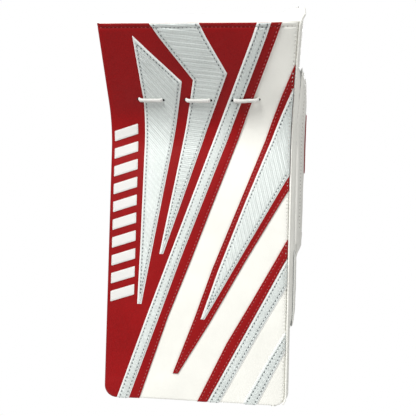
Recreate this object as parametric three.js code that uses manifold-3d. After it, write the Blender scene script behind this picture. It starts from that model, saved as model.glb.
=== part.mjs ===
// Ice hockey goalkeeper's blocker for the right hand, in millimetres.
// +Z runs up the board, -Y is the front face that stops pucks, +X is the thumb side.
// The board is a foam and plastic sandwich in a sewn skin. A glove on its back holds the hand.
import * as THREE from 'three';
import { mergeVertices } from 'three/addons/utils/BufferGeometryUtils.js';
import Module from 'manifold-3d';

const wasm = await Module();
wasm.setup();

// ---------------------------------------------------------------- driving dimensions

// The front face: flat below, then curled forward over a bend, then straight again.
const BOARD_LENGTH = 381;
const FACE_HALF_WIDTH = 92;
const FLAT_LENGTH = 257;
const BEND_RADIUS = 75;
const BEND_ANGLE = THREE.MathUtils.degToRad(36);
const BEND_STEPS = 6;
const BEND_END = FLAT_LENGTH + BEND_RADIUS * BEND_ANGLE;

// The board widens from its face seam to its full width at this depth.
const FLARE_DEPTH = 14;
const FLARE = { left: 2, right: 5 };
const CORNER_RADIUS = { left: 12, right: 9 };

// Depth of each layer behind the face. Applied panels lie in front of it, below zero.
const LAYERS = {
  overlay: [-3.1, -1.8],
  panel: [-1.5, -0.3],
  skin: [0, 1.4],
  coreFront: [1.8, 13],
  stiffener: [13.3, 15.3],
  coreBack: [15.6, 27.4],
  backCover: [27.8, 29.2],
};
const GUSSET_THICKNESS = 1.2;
const CORE_INSET = 1.6;
const BOARD_BACK = LAYERS.backCover[1];

// Laces tied through the board, each over a pair of punched holes.
const LACE_HEIGHT = 309.5;
const LACE_SPAN = 25;
const LACE_CENTRES = { left: -47.8, middle: -0.5, right: 46.8 };
const LACE_HOLE_RADIUS = 2.1;
const LACE_HALF_WIDTH = 1.4;
const LACE_HALF_HEIGHT = 1;

// The hand's place behind the board.
const KNUCKLE_HEIGHT = 150;
const KNUCKLE_DEPTH = 58;
const SLEEVE_BOTTOM = 158;
const SLEEVE_TOP = 250;
const CUFF_BOTTOM = 250.8;
const CUFF_TOP = 322;
const HAND_CENTRE_X = -2;
const HAND_FRONT = 41.5;

// Everything is drawn from the board's bottom edge, then moved so that the grip is at the origin.
const GRIP_CENTRE = new THREE.Vector3(HAND_CENTRE_X, 61, 205);

// ---------------------------------------------------------------- looks

const LOOKS = {
  whiteLeather: { color: 0xf1f1ea, roughness: 0.5, metalness: 0 },
  redLeather: { color: 0x9b2023, roughness: 0.45, metalness: 0 },
  silverLeather: { color: 0xccd5d4, roughness: 0.4, metalness: 0.2 },
  greyFabric: { color: 0xc6c9c4, roughness: 0.8, metalness: 0 },
  blackFabric: { color: 0x26272a, roughness: 0.9, metalness: 0 },
  palmLeather: { color: 0xd9d6cc, roughness: 0.7, metalness: 0 },
  foam: { color: 0x5c6064, roughness: 0.95, metalness: 0 },
  stiffPlastic: { color: 0xe4e4e0, roughness: 0.35, metalness: 0 },
  lace: { color: 0xf6f6f2, roughness: 0.85, metalness: 0 },
  hookAndLoop: { color: 0x1b1c1e, roughness: 1, metalness: 0 },
};

const blocker = new THREE.Group();
blocker.name = 'goalie_blocker';

function add(name, look, geometry) {
  geometry.translate(-GRIP_CENTRE.x, -GRIP_CENTRE.y, -GRIP_CENTRE.z);
  geometry.computeVertexNormals();
  const mesh = new THREE.Mesh(geometry, new THREE.MeshStandardMaterial(LOOKS[look]));
  mesh.name = name;
  blocker.add(mesh);
}

// ---------------------------------------------------------------- closed solids from grids of points

function signedVolume(points, triangles) {
  let volume = 0;
  for (let i = 0; i < triangles.length; i += 3) {
    const [a, b, c] = [points[triangles[i]], points[triangles[i + 1]], points[triangles[i + 2]]];
    volume += a.dot(new THREE.Vector3().crossVectors(b, c)) / 6;
  }
  return volume;
}

function closedSolid(points, triangles) {
  const outward = signedVolume(points, triangles) > 0 ? triangles : triangles.slice().reverse();
  const geometry = new THREE.BufferGeometry();
  geometry.setAttribute('position', new THREE.Float32BufferAttribute(points.flatMap((p) => p.toArray()), 3));
  geometry.setIndex(outward);
  return geometry;
}

function quad(triangles, a, b, c, d) {
  triangles.push(a, b, c, a, c, d);
}

// A sheet with thickness: two matching grids of points, joined round their edges.
// With closed set, each row is a ring, and the solid is a sleeve open at both ends.
function sheetSolid(outer, inner, closed = false) {
  const rows = outer.length;
  const columns = outer[0].length;
  const points = [...outer.flat(), ...inner.flat()];
  const triangles = [];
  const front = (i, j) => i * columns + (j % columns);
  const back = (i, j) => rows * columns + front(i, j);
  const spans = closed ? columns : columns - 1;
  for (let i = 0; i < rows - 1; i += 1) {
    for (let j = 0; j < spans; j += 1) {
      quad(triangles, front(i, j), front(i + 1, j), front(i + 1, j + 1), front(i, j + 1));
      quad(triangles, back(i, j), back(i, j + 1), back(i + 1, j + 1), back(i + 1, j));
    }
    if (!closed) {
      quad(triangles, front(i, 0), back(i, 0), back(i + 1, 0), front(i + 1, 0));
      const last = columns - 1;
      quad(triangles, front(i + 1, last), back(i + 1, last), back(i, last), front(i, last));
    }
  }
  for (let j = 0; j < spans; j += 1) {
    quad(triangles, front(0, j), front(0, j + 1), back(0, j + 1), back(0, j));
    quad(triangles, front(rows - 1, j + 1), front(rows - 1, j), back(rows - 1, j), back(rows - 1, j + 1));
  }
  return closedSolid(points, triangles);
}

function ringWall(triangles, rings, start, flip) {
  const size = rings[0].length;
  for (let i = 0; i < rings.length - 1; i += 1) {
    for (let j = 0; j < size; j += 1) {
      const a = start + i * size + j;
      const b = start + i * size + ((j + 1) % size);
      if (flip) {
        quad(triangles, a, a + size, b + size, b);
      } else {
        quad(triangles, a, b, b + size, a + size);
      }
    }
  }
}

function ringCap(triangles, start, size, tip, flip) {
  for (let j = 0; j < size; j += 1) {
    const a = start + j;
    const b = start + ((j + 1) % size);
    triangles.push(...(flip ? [b, a, tip] : [a, b, tip]));
  }
}

function centroid(ring) {
  return ring.reduce((sum, p) => sum.add(p), new THREE.Vector3()).divideScalar(ring.length);
}

// A solid bar: rings one after another, with both ends capped.
function barSolid(rings) {
  const size = rings[0].length;
  const points = rings.flat();
  const triangles = [];
  ringWall(triangles, rings, 0, false);
  points.push(centroid(rings[0]), centroid(rings[rings.length - 1]));
  ringCap(triangles, 0, size, points.length - 2, true);
  ringCap(triangles, (rings.length - 1) * size, size, points.length - 1, false);
  return closedSolid(points, triangles);
}

// A pocket: an outer and an inner set of rings from the rim to a closed tip.
function pocketSolid(outerRings, outerTip, innerRings, innerTip) {
  const size = outerRings[0].length;
  const innerStart = outerRings.length * size;
  const points = [...outerRings.flat(), ...innerRings.flat(), outerTip, innerTip];
  const triangles = [];
  ringWall(triangles, outerRings, 0, false);
  ringWall(triangles, innerRings, innerStart, true);
  ringCap(triangles, innerStart - size, size, points.length - 2, false);
  ringCap(triangles, innerStart + (innerRings.length - 1) * size, size, points.length - 1, true);
  for (let j = 0; j < size; j += 1) {
    const next = (j + 1) % size;
    quad(triangles, j, innerStart + j, innerStart + next, next);
  }
  return closedSolid(points, triangles);
}

// ---------------------------------------------------------------- joining and cutting

function toManifold(geometry) {
  const bare = geometry.clone();
  bare.deleteAttribute('normal');
  bare.deleteAttribute('uv');
  const merged = mergeVertices(bare, 1e-4);
  return new wasm.Manifold(new wasm.Mesh({
    numProp: 3,
    vertProperties: new Float32Array(merged.attributes.position.array),
    triVerts: new Uint32Array(merged.index.array),
  }));
}

function fromManifold(solid) {
  const { vertProperties, triVerts } = solid.getMesh();
  const geometry = new THREE.BufferGeometry();
  geometry.setAttribute('position', new THREE.Float32BufferAttribute(vertProperties, 3));
  geometry.setIndex(Array.from(triVerts));
  return geometry;
}

function cut(geometry, cutters) {
  let solid = toManifold(geometry);
  for (const cutter of cutters) {
    solid = solid.subtract(toManifold(cutter));
  }
  return fromManifold(solid);
}

function join(parts) {
  let solid = toManifold(parts[0]);
  for (const part of parts.slice(1)) {
    solid = solid.add(toManifold(part));
  }
  return fromManifold(solid);
}

// ---------------------------------------------------------------- the board's curled surface

const PROFILE = [{ s: 0, angle: 0 }];
for (let i = 0; i <= BEND_STEPS; i += 1) {
  const angle = (BEND_ANGLE * i) / BEND_STEPS;
  PROFILE.push({ s: FLAT_LENGTH + BEND_RADIUS * angle, angle });
}
PROFILE.push({ s: BOARD_LENGTH + 20, angle: BEND_ANGLE });

function knotPoint(knot, depth) {
  if (knot.s <= FLAT_LENGTH) {
    return new THREE.Vector3(0, depth, knot.s);
  }
  const beyond = Math.max(0, knot.s - BEND_END);
  const reach = BEND_RADIUS + depth;
  return new THREE.Vector3(
    0,
    -BEND_RADIUS + reach * Math.cos(knot.angle) - beyond * Math.sin(knot.angle),
    FLAT_LENGTH + reach * Math.sin(knot.angle) + beyond * Math.cos(knot.angle),
  );
}

// The point u across the board, s up along its face, and depth behind the face.
function boardPoint(u, s, depth) {
  let k = 0;
  while (k < PROFILE.length - 2 && s > PROFILE[k + 1].s) {
    k += 1;
  }
  const share = (s - PROFILE[k].s) / (PROFILE[k + 1].s - PROFILE[k].s);
  const point = knotPoint(PROFILE[k], depth).lerp(knotPoint(PROFILE[k + 1], depth), share);
  point.x = u;
  return point;
}

function flare(side, depth) {
  return (FLARE[side] * Math.min(Math.max(depth, 0), FLARE_DEPTH)) / FLARE_DEPTH;
}

// How far across the board's left or right edge is, with its rounded bottom corner.
function boardEdge(side, s, depth, inset) {
  const sign = side === 'left' ? -1 : 1;
  const radius = CORNER_RADIUS[side] - inset;
  const lift = Math.max(0, s - inset);
  const drop = Math.max(0, radius - lift);
  const cornerCut = radius - Math.sqrt(radius * radius - drop * drop);
  return sign * (FACE_HALF_WIDTH + flare(side, depth) - inset - cornerCut);
}

const CORNER_STEPS = [0, 0.7, 2.2, 4.5, 7.5, 9, 12];
const BEND_LEVELS = PROFILE.slice(1, -1).map((knot) => knot.s);

function levelsBetween(low, high, extra = []) {
  const inside = [...BEND_LEVELS, ...extra].filter((s) => s > low + 0.3 && s < high - 0.3);
  return [low, ...inside, high].sort((a, b) => a - b)
    .filter((s, i, all) => i === 0 || s - all[i - 1] > 0.2);
}

function boardSlab([front, back], inset) {
  const corner = CORNER_STEPS.map((step) => step + inset);
  const levels = levelsBetween(inset, BOARD_LENGTH - inset, corner);
  const grid = (depth) => levels.map((s) => [
    boardPoint(boardEdge('left', s, depth, inset), s, depth),
    boardPoint(boardEdge('right', s, depth, inset), s, depth),
  ]);
  return sheetSolid(grid(front), grid(back));
}

// ---------------------------------------------------------------- lace holes

const LACE_DIRECTION = boardPoint(0, LACE_HEIGHT, 1).sub(boardPoint(0, LACE_HEIGHT, 0)).normalize();

function laceHole(u) {
  const hole = new THREE.CylinderGeometry(LACE_HOLE_RADIUS, LACE_HOLE_RADIUS, 60, 8);
  const turn = new THREE.Quaternion().setFromUnitVectors(new THREE.Vector3(0, 1, 0), LACE_DIRECTION);
  hole.applyQuaternion(turn);
  hole.translate(...boardPoint(u, LACE_HEIGHT, 12).toArray());
  return hole;
}

const HOLE_POSITIONS = Object.values(LACE_CENTRES)
  .flatMap((centre) => [centre - LACE_SPAN / 2, centre + LACE_SPAN / 2]);

function punched(geometry, low = -FACE_HALF_WIDTH, high = FACE_HALF_WIDTH) {
  const holes = HOLE_POSITIONS.filter((u) => u > low && u < high);
  return cut(geometry, holes.map(laceHole));
}

// ---------------------------------------------------------------- board layers

add('face_skin', 'whiteLeather', punched(boardSlab(LAYERS.skin, 0)));
add('core_front', 'foam', punched(boardSlab(LAYERS.coreFront, CORE_INSET)));
add('stiffener', 'stiffPlastic', punched(boardSlab(LAYERS.stiffener, CORE_INSET)));
add('core_back', 'foam', punched(boardSlab(LAYERS.coreBack, CORE_INSET)));
add('back_cover', 'greyFabric', punched(boardSlab(LAYERS.backCover, 0)));

// The skin round the edge of the board, in four strips that meet at seams.
const GUSSET_DEPTHS = [LAYERS.coreFront[0], FLARE_DEPTH, LAYERS.coreBack[1]];
const SEAM_GAP = 0.2;
const GUSSET_SEAM_U = { left: -62, right: 82 };

function sideGusset(side) {
  const levels = levelsBetween(0, BOARD_LENGTH, CORNER_STEPS.slice(1));
  const wall = (inset) => levels.map((s) => GUSSET_DEPTHS.map((depth) => {
    const height = Math.min(Math.max(s, inset), BOARD_LENGTH);
    return boardPoint(boardEdge(side, height, depth, inset), height, depth);
  }));
  const outer = wall(0);
  const inner = wall(GUSSET_THICKNESS);
  const seam = GUSSET_SEAM_U[side];
  const footing = (inset) => GUSSET_DEPTHS.map((depth) => boardPoint(seam, inset, depth));
  return sheetSolid([footing(0), ...outer], [footing(GUSSET_THICKNESS), ...inner]);
}

function straightGusset(low, high, s, thickness) {
  const wall = (height) => [0, 0.5, 1].map((share) => GUSSET_DEPTHS.map((depth) => {
    const u = THREE.MathUtils.lerp(low(depth), high(depth), share);
    return boardPoint(u, height, depth);
  }));
  return sheetSolid(wall(s), wall(s + thickness));
}

add('gusset_left', 'redLeather', sideGusset('left'));
add('gusset_right', 'whiteLeather', sideGusset('right'));
add('gusset_bottom', 'whiteLeather', straightGusset(
  () => GUSSET_SEAM_U.left + SEAM_GAP * 2,
  () => GUSSET_SEAM_U.right - SEAM_GAP * 2,
  0,
  GUSSET_THICKNESS,
));
add('gusset_top', 'whiteLeather', straightGusset(
  (depth) => boardEdge('left', BOARD_LENGTH, depth, CORE_INSET),
  (depth) => boardEdge('right', BOARD_LENGTH, depth, CORE_INSET),
  BOARD_LENGTH,
  -GUSSET_THICKNESS,
));

// ---------------------------------------------------------------- cords and laces

// Rings of an oval section that follow a line of points, kept from twisting.
function sweptRings(path, halfWidth, halfHeight, sides, up) {
  const rings = [];
  let normal = up.clone();
  for (let i = 0; i < path.length; i += 1) {
    const before = path[Math.max(0, i - 1)];
    const after = path[Math.min(path.length - 1, i + 1)];
    const along = after.clone().sub(before).normalize();
    normal = normal.clone().sub(along.clone().multiplyScalar(normal.dot(along))).normalize();
    const across = new THREE.Vector3().crossVectors(along, normal);
    const ring = [];
    for (let j = 0; j < sides; j += 1) {
      const angle = (2 * Math.PI * j) / sides;
      ring.push(path[i].clone()
        .add(across.clone().multiplyScalar(halfWidth * Math.cos(angle)))
        .add(normal.clone().multiplyScalar(halfHeight * Math.sin(angle))));
    }
    rings.push(ring);
  }
  return rings;
}

// The welt cord along the right face seam, turned back over the top corner.
const PIPING_RADIUS = 1.4;
const PIPING_OFFSET = 1.9;

function pipingPath() {
  const path = [];
  const radius = CORNER_RADIUS.right + PIPING_OFFSET;
  const centreU = FACE_HALF_WIDTH - CORNER_RADIUS.right;
  for (let i = 0; i <= 4; i += 1) {
    const angle = THREE.MathUtils.degToRad(-42) * (1 - i / 4);
    path.push(boardPoint(
      centreU + radius * Math.cos(angle),
      CORNER_RADIUS.right + radius * Math.sin(angle),
      0,
    ));
  }
  const edge = FACE_HALF_WIDTH + PIPING_OFFSET;
  for (const s of [130, ...BEND_LEVELS, BOARD_LENGTH - 2]) {
    path.push(boardPoint(edge, s, 0));
  }
  path.push(boardPoint(edge - 0.6, BOARD_LENGTH + 1, 0.6));
  for (const depth of [3, 8, FLARE_DEPTH, LAYERS.coreBack[1]]) {
    path.push(boardPoint(FACE_HALF_WIDTH - 0.6 + flare('right', depth), BOARD_LENGTH + 1.9, depth));
  }
  return path;
}

add('piping_right', 'whiteLeather', barSolid(
  sweptRings(pipingPath(), PIPING_RADIUS, PIPING_RADIUS, 8, new THREE.Vector3(1, 0, 0)),
));

// Each lace comes up one hole, crosses the face, goes down the other and is knotted behind.
const LACE_FRONT = LAYERS.overlay[0] - 0.4 - LACE_HALF_HEIGHT;
const LACE_REAR = BOARD_BACK + 0.6 + LACE_HALF_HEIGHT;
const LACE_TURN = 1.8;

function lacePath(centre) {
  const half = LACE_SPAN / 2;
  const side = (sign) => [
    [sign * 3, LACE_REAR + 0.5],
    [sign * (half - LACE_TURN), LACE_REAR],
    [sign * (half - 0.5), LACE_REAR - 0.6],
    [sign * half, LACE_REAR - LACE_TURN],
    [sign * half, LACE_FRONT + LACE_TURN],
    [sign * (half - 0.5), LACE_FRONT + 0.6],
    [sign * (half - LACE_TURN), LACE_FRONT],
  ];
  const left = side(-1);
  const right = side(1).reverse();
  return [...left, ...right].map(([offset, depth]) => boardPoint(centre + offset, LACE_HEIGHT, depth));
}

function laceTail(centre, sign) {
  const start = boardPoint(centre + sign * 1.5, LACE_HEIGHT, LACE_REAR + 1.6);
  const middle = boardPoint(centre + sign * 7, LACE_HEIGHT - 6, LACE_REAR + 2.6);
  const end = boardPoint(centre + sign * 9, LACE_HEIGHT - 17, LACE_REAR + 2);
  return barSolid(sweptRings([start, middle, end], LACE_HALF_WIDTH, 0.8, 6, LACE_DIRECTION));
}

function laceKnot(centre) {
  const knot = new THREE.SphereGeometry(3, 8, 6);
  knot.scale(1.5, 0.9, 1);
  knot.translate(...boardPoint(centre, LACE_HEIGHT, LACE_REAR + 2).toArray());
  return knot;
}

for (const [name, centre] of Object.entries(LACE_CENTRES)) {
  const up = new THREE.Vector3(0, LACE_DIRECTION.z, -LACE_DIRECTION.y);
  const loop = barSolid(sweptRings(lacePath(centre), LACE_HALF_HEIGHT, LACE_HALF_WIDTH, 8, up));
  add(`lace_${name}`, 'lace', join([loop, laceKnot(centre), laceTail(centre, -1), laceTail(centre, 1)]));
}

// ---------------------------------------------------------------- applied panels on the face

// A boundary is a list of [s, u] from bottom to top; between them it is straight.
function along(boundary, s) {
  let k = 0;
  while (k < boundary.length - 2 && s > boundary[k + 1][0]) {
    k += 1;
  }
  const [s0, u0] = boundary[k];
  const [s1, u1] = boundary[k + 1];
  return u0 + ((u1 - u0) * (s - s0)) / (s1 - s0);
}

const PANEL_LEFT = -FACE_HALF_WIDTH + 0.3;
const PANEL_RIGHT = FACE_HALF_WIDTH - 0.3;
const PANEL_TOP = BOARD_LENGTH - 0.3;
const PANEL_BOTTOM = 0.6;
const NARROWEST = 0.8;

function facePanel({ left, right, low = PANEL_BOTTOM, high = PANEL_TOP }, [front, back]) {
  const bounds = (s) => {
    const outerLeft = boardEdge('left', s, 0, 0.3);
    const outerRight = Math.min(PANEL_RIGHT, boardEdge('right', s, 0, 0.3));
    return [Math.max(outerLeft, along(left, s)), Math.min(outerRight, along(right, s))];
  };
  const knots = [...left, ...right].map(([s]) => s);
  const rightRun = knots.concat(CORNER_STEPS.map((step) => step + PANEL_BOTTOM));
  const levels = levelsBetween(low, high, rightRun)
    .filter((s) => bounds(s)[1] - bounds(s)[0] > NARROWEST);
  const grid = (depth) => levels.map((s) => bounds(s).map((u) => boardPoint(u, s, depth)));
  return sheetSolid(grid(front), grid(back));
}

// Lines shared by neighbouring panels.
const RED_FIELD_EDGE = [[0, -55], [85, -27.3], [144, -5], [194, 13], [268, 40], [310, 54], [381, 77.6]];
const WEDGE_TOP_EDGE = [[28, -21], [84, -0.6], [135, 16.5], [268, 67.4], [316, 82.5], [350, 93.8]];
const WEDGE_LOW_EDGE = [[28, -15.4], [81, 15.8], [146, 51.2], [218, 92.2]];
const LOW_STRIPE_SPLIT = [[0, 14.6], [54, 42.5], [103.5, 68.4], [150, 92.4]];

const PANELS = {
  red_field: {
    look: 'redLeather',
    layer: 'panel',
    left: [[0, PANEL_LEFT], [BOARD_LENGTH, PANEL_LEFT]],
    right: RED_FIELD_EDGE,
  },
  red_wedge: {
    look: 'redLeather',
    layer: 'panel',
    left: WEDGE_TOP_EDGE,
    right: WEDGE_LOW_EDGE.concat([[350, 167]]),
    low: 28,
    high: 344,
  },
  red_stripe_lower: {
    look: 'redLeather',
    layer: 'panel',
    left: [[0, 4.6], [61, 33.3], [107.5, 59.3], [147, 80.8], [171, 93.4]],
    right: LOW_STRIPE_SPLIT.map(([s, u]) => [s, u - SEAM_GAP]),
    high: 169,
  },
  silver_stripe_lower: {
    look: 'silverLeather',
    layer: 'panel',
    left: LOW_STRIPE_SPLIT.map(([s, u]) => [s, u + SEAM_GAP]),
    right: [[0, 27.7], [78, 69.2], [120, 92.8]],
    high: 148,
  },
  silver_stripe_corner: {
    look: 'silverLeather',
    layer: 'panel',
    left: [[0, 50.5], [47, 75.3], [77, 92.6]],
    right: [[0, 65.4], [55, 92.6]],
    high: 75.5,
  },
  silver_blade_long: {
    look: 'silverLeather',
    layer: 'overlay',
    left: [[97, -59.8], [166, -58], [249, -56.7], [308, -55.4], [371, -59.8]],
    right: [[97, -55], [328, -15.4], [371, -58.9]],
    low: 97,
    high: 371,
  },
  silver_blade_bent: {
    look: 'silverLeather',
    layer: 'overlay',
    left: [[149, -38.2], [278, -14.2], [329.5, -4.8], [381, -43.2]],
    right: [[149, -33.8], [278, 8.3], [336, 28.6], [381, 3]],
    low: 149,
  },
  silver_stripe_main: {
    look: 'silverLeather',
    layer: 'overlay',
    left: [[0, -78.5], [88, -48.7], [144, -29], [268, 14.8], [381, 55]],
    right: [[0, -65.6], [88, -35.1], [144, -16], [268, 29.4], [381, 68.2]],
  },
  silver_wedge: {
    look: 'silverLeather',
    layer: 'overlay',
    left: [[84, 6], [135, 22.9], [203, 47.9], [268, 73.2], [325, 92.8]],
    right: [[84, 10.4], [136, 38.9], [231, 91.4], [325, 143]],
    low: 84,
    high: 322,
  },
};

for (const [name, panel] of Object.entries(PANELS)) {
  add(name, panel.look, punched(facePanel(panel, LAYERS[panel.layer])));
}

// ---------------------------------------------------------------- side guard on the thumb side

// Each guard is a padded wall: outer skin, foam and lining, from the board's edge backwards.
// Towards its ends it slopes in, most of all at the rear edge.
const GUARD_SKIN = 1.2;
const GUARD_GAP = 0.3;

const GUARDS = {
  upper: {
    low: 160,
    high: 343,
    // [share of the way back, outer face x, wall thickness]
    section: [[0, 101.8, 4], [0.16, 105, 4], [0.34, 109.4, 6.5], [0.55, 113.4, 10], [0.8, 116.2, 11],
      [0.93, 116.6, 8.5], [1, 115.6, 5]],
    rear: [[160, 92], [166, 98], [175, 102], [300, 102], [318, 98], [331, 88], [339, 70], [343, 52]],
    endThinning: [[160, 0.8], [168, 1], [330, 1], [343, 0.8]],
    endSlope: [[160, 7.5], [168, 4.5], [180, 2.2], [200, 1.8], [225, 1.5], [245, 0], [318, 0], [330, 3], [337, 6],
      [343, 11]],
  },
  lower: {
    low: 76,
    high: 159,
    section: [[0, 101.6, 4], [0.3, 104, 4], [0.45, 105.6, 6.5], [0.7, 107.4, 9], [0.9, 107.6, 7], [1, 106.8, 4.4]],
    rear: [[76, 52], [79, 66], [85, 77], [94, 84], [150, 88], [159, 86]],
    endThinning: [[76, 0.8], [86, 1], [159, 1]],
    endSlope: [[76, 9], [85, 6], [98, 2], [112, 0], [159, 0]],
  },
};

function guardLayer(guard, fromOuter, fromInner) {
  const knots = [...guard.rear, ...guard.endThinning, ...guard.endSlope].map(([s]) => s);
  const levels = levelsBetween(guard.low, guard.high, [...new Set(knots)]);
  const face = (measure) => levels.map((s) => {
    const start = boardPoint(0, s, 6);
    const rear = along(guard.rear, s);
    const thinning = along(guard.endThinning, s);
    const slope = along(guard.endSlope, s);
    return guard.section.map(([share, outerX, thickness]) => {
      const wall = Math.max(4, thickness * thinning);
      return new THREE.Vector3(
        outerX - slope * share ** 2 - measure(wall),
        THREE.MathUtils.lerp(start.y, rear, share),
        start.z,
      );
    });
  });
  return sheetSolid(face(fromOuter), face(fromInner));
}

for (const [name, guard] of Object.entries(GUARDS)) {
  const foamStart = GUARD_SKIN + GUARD_GAP;
  add(`guard_${name}_skin`, 'whiteLeather', guardLayer(guard, () => 0, () => GUARD_SKIN));
  add(`guard_${name}_foam`, 'foam', guardLayer(guard, () => foamStart, (wall) => wall - foamStart));
  add(`guard_${name}_lining`, 'greyFabric', guardLayer(guard, (wall) => wall - GUARD_SKIN, (wall) => wall));
}

// ---------------------------------------------------------------- glove on the back of the board

// The pad between the board and the back of the hand. It fills the hollow behind the curl.
const PAD_HALF_WIDTH = 48;
const PAD_REAR = HAND_FRONT - 0.6;

function handPad() {
  const levels = levelsBetween(92, 286, [96, 106]);
  const halfWidth = (s) => along([[92, 36], [96, 43], [106, PAD_HALF_WIDTH], [286, PAD_HALF_WIDTH]], s);
  const across = [-1, -0.93, 0.93, 1];
  const front = levels.map((s) => across.map((share) => (
    boardPoint(HAND_CENTRE_X + share * halfWidth(s), s, BOARD_BACK + 0.4))));
  const rear = front.map((row) => row.map((p, j) => (
    new THREE.Vector3(p.x, j === 0 || j === across.length - 1 ? PAD_REAR - 4 : PAD_REAR, p.z))));
  return sheetSolid(front, rear);
}

add('hand_pad', 'blackFabric', handPad());

// A rounded box-like ring round the hand or wrist: angle 0 is +X and 90 is +Y, the palm side.
function handRing(height, halfX, halfY, offset, from = 0, to = 360, count = 20, whole = true) {
  const ring = [];
  const steps = whole ? count : count - 1;
  for (let i = 0; i < count; i += 1) {
    const angle = THREE.MathUtils.degToRad(from + ((to - from) * i) / steps);
    const squareness = 0.78;
    const round = (value) => Math.sign(value) * Math.abs(value) ** squareness;
    ring.push(new THREE.Vector3(
      HAND_CENTRE_X + (halfX + offset) * round(Math.cos(angle)),
      HAND_FRONT + halfY + (halfY + offset) * round(Math.sin(angle)),
      height,
    ));
  }
  return ring;
}

const SLEEVE_WALL = 2.6;
const SLEEVE_SECTIONS = [
  [SLEEVE_BOTTOM, 53, 19.5], [170, 52.5, 19.5], [190, 50, 19.5], [215, 47, 19.5], [235, 44.5, 19.5],
  [SLEEVE_TOP, 43.5, 19.5],
];

function sleeveAt(offset) {
  return SLEEVE_SECTIONS.map(([z, halfX, halfY]) => handRing(z, halfX, halfY, offset, 0, 360, 24));
}

// The thumb leaves the palm through a round opening in the sleeve's thumb side.
function thumbOpening() {
  const opening = new THREE.CylinderGeometry(13.5, 13.5, 40, 12);
  opening.rotateZ(Math.PI / 2);
  opening.translate(44, 61, 208);
  return opening;
}

add('palm_sleeve', 'palmLeather', cut(
  sheetSolid(sleeveAt(0), sleeveAt(-SLEEVE_WALL), true),
  [thumbOpening()],
));

// A second layer of leather where the stick rubs the palm.
const PATCH_ARC = [52, 128];
const patchAt = (offset) => [[164, 52.7], [178, 51.5], [200, 48.8], [226, 45.6], [240, 44.1]]
  .map(([z, halfX]) => handRing(z, halfX, 19.5, offset, ...PATCH_ARC, 9, false));
add('palm_patch', 'redLeather', sheetSolid(patchAt(2), patchAt(0.5)));

// The cuff wraps the wrist from the back and stays open on the palm side.
const CUFF_WALL = 4;
const CUFF_ARC = [108, 432];
const CUFF_SECTIONS = [[CUFF_BOTTOM, 43.5, 20], [275, 47, 20.8], [300, 51, 21.8], [316, 54, 22.5], [CUFF_TOP, 54.6, 22.6]];

function cuffAt(offset, sections, [from, to], count) {
  return sections.map(([z, halfX, halfY]) => handRing(z, halfX, halfY, offset, from, to, count, false));
}

function cuffSection(z) {
  const halfX = along(CUFF_SECTIONS.map(([height, value]) => [height, value]), z);
  const halfY = along(CUFF_SECTIONS.map(([height, , value]) => [height, value]), z);
  return [z, halfX, halfY];
}

add('cuff', 'whiteLeather', sheetSolid(
  cuffAt(0, CUFF_SECTIONS, CUFF_ARC, 26),
  cuffAt(-CUFF_WALL, CUFF_SECTIONS, CUFF_ARC, 26),
));

// Padding sewn inside the two sides of the cuff.
const CUFF_PAD_ARCS = { thumb_side: [-42, 42], far_side: [138, 222] };
for (const [name, arc] of Object.entries(CUFF_PAD_ARCS)) {
  const sections = [262, 286, 310].map(cuffSection);
  add(`cuff_pad_${name}`, 'blackFabric', sheetSolid(
    cuffAt(-CUFF_WALL - 0.4, sections, arc, 9),
    cuffAt(-CUFF_WALL - 4.5, sections, arc, 9),
  ));
}

// The wrist strap: anchored beyond the little finger, closed over the palm side.
const STRAP_BAND = [276, 290, 304].map(cuffSection);
const LOOP_BAND = [274, 290, 306].map(cuffSection);
add('loop_patch', 'hookAndLoop', sheetSolid(
  cuffAt(1.6, LOOP_BAND, [6, 66], 7),
  cuffAt(0.4, LOOP_BAND, [6, 66], 7),
));
add('strap_anchor', 'blackFabric', sheetSolid(
  cuffAt(2, STRAP_BAND, [168, 214], 6),
  cuffAt(0.4, STRAP_BAND, [168, 214], 6),
));
add('strap', 'blackFabric', sheetSolid(
  cuffAt(5, STRAP_BAND, [10, 166], 16),
  cuffAt(3.4, STRAP_BAND, [10, 166], 16),
));
add('strap_hook_patch', 'hookAndLoop', sheetSolid(
  cuffAt(3, STRAP_BAND, [12, 56], 6),
  cuffAt(2, STRAP_BAND, [12, 56], 6),
));

// ---------------------------------------------------------------- fingers and thumb

const FINGER_PITCH = 25;
const FINGER_HALF_WIDTH = 12;
const FINGER_HALF_DEPTH = 13;
const FINGER_WALL = 1.8;
const FINGER_SIDES = 12;
const FINGERS = {
  index: { place: 1.5, length: 76 },
  middle: { place: 0.5, length: 84 },
  ring: { place: -0.5, length: 79 },
  little: { place: -1.5, length: 66 },
};

// Rings of a pocket along a gently bent line. Size shrinks over the last part to a round tip.
function pocketRings(lineAt, across, through, halfWidth, halfDepth, length, wall) {
  const shares = wall > 0 ? [0, 0.35, 0.7, 0.86, 0.95] : [0, 0.35, 0.7, 0.88, 0.97];
  const taper = { 0: 1, 0.35: 0.98, 0.7: 0.9, 0.86: 0.78, 0.88: 0.76, 0.95: 0.55, 0.97: 0.48 };
  const reach = length - wall;
  return shares.map((share) => {
    const centre = lineAt(share * reach);
    const ring = [];
    for (let j = 0; j < FINGER_SIDES; j += 1) {
      const angle = (2 * Math.PI * j) / FINGER_SIDES;
      ring.push(centre.clone()
        .add(across.clone().multiplyScalar((halfWidth * taper[share] - wall) * Math.cos(angle)))
        .add(through.clone().multiplyScalar((halfDepth * taper[share] - wall) * Math.sin(angle))));
    }
    return ring;
  });
}

function pocket(lineAt, across, through, halfWidth, halfDepth, length, wall) {
  const size = [across, through, halfWidth, halfDepth, length];
  return pocketSolid(
    pocketRings(lineAt, ...size, 0),
    lineAt(length),
    pocketRings(lineAt, ...size, wall),
    lineAt(length - wall),
  );
}

const X_AXIS = new THREE.Vector3(1, 0, 0);
const Y_AXIS = new THREE.Vector3(0, 1, 0);

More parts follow.
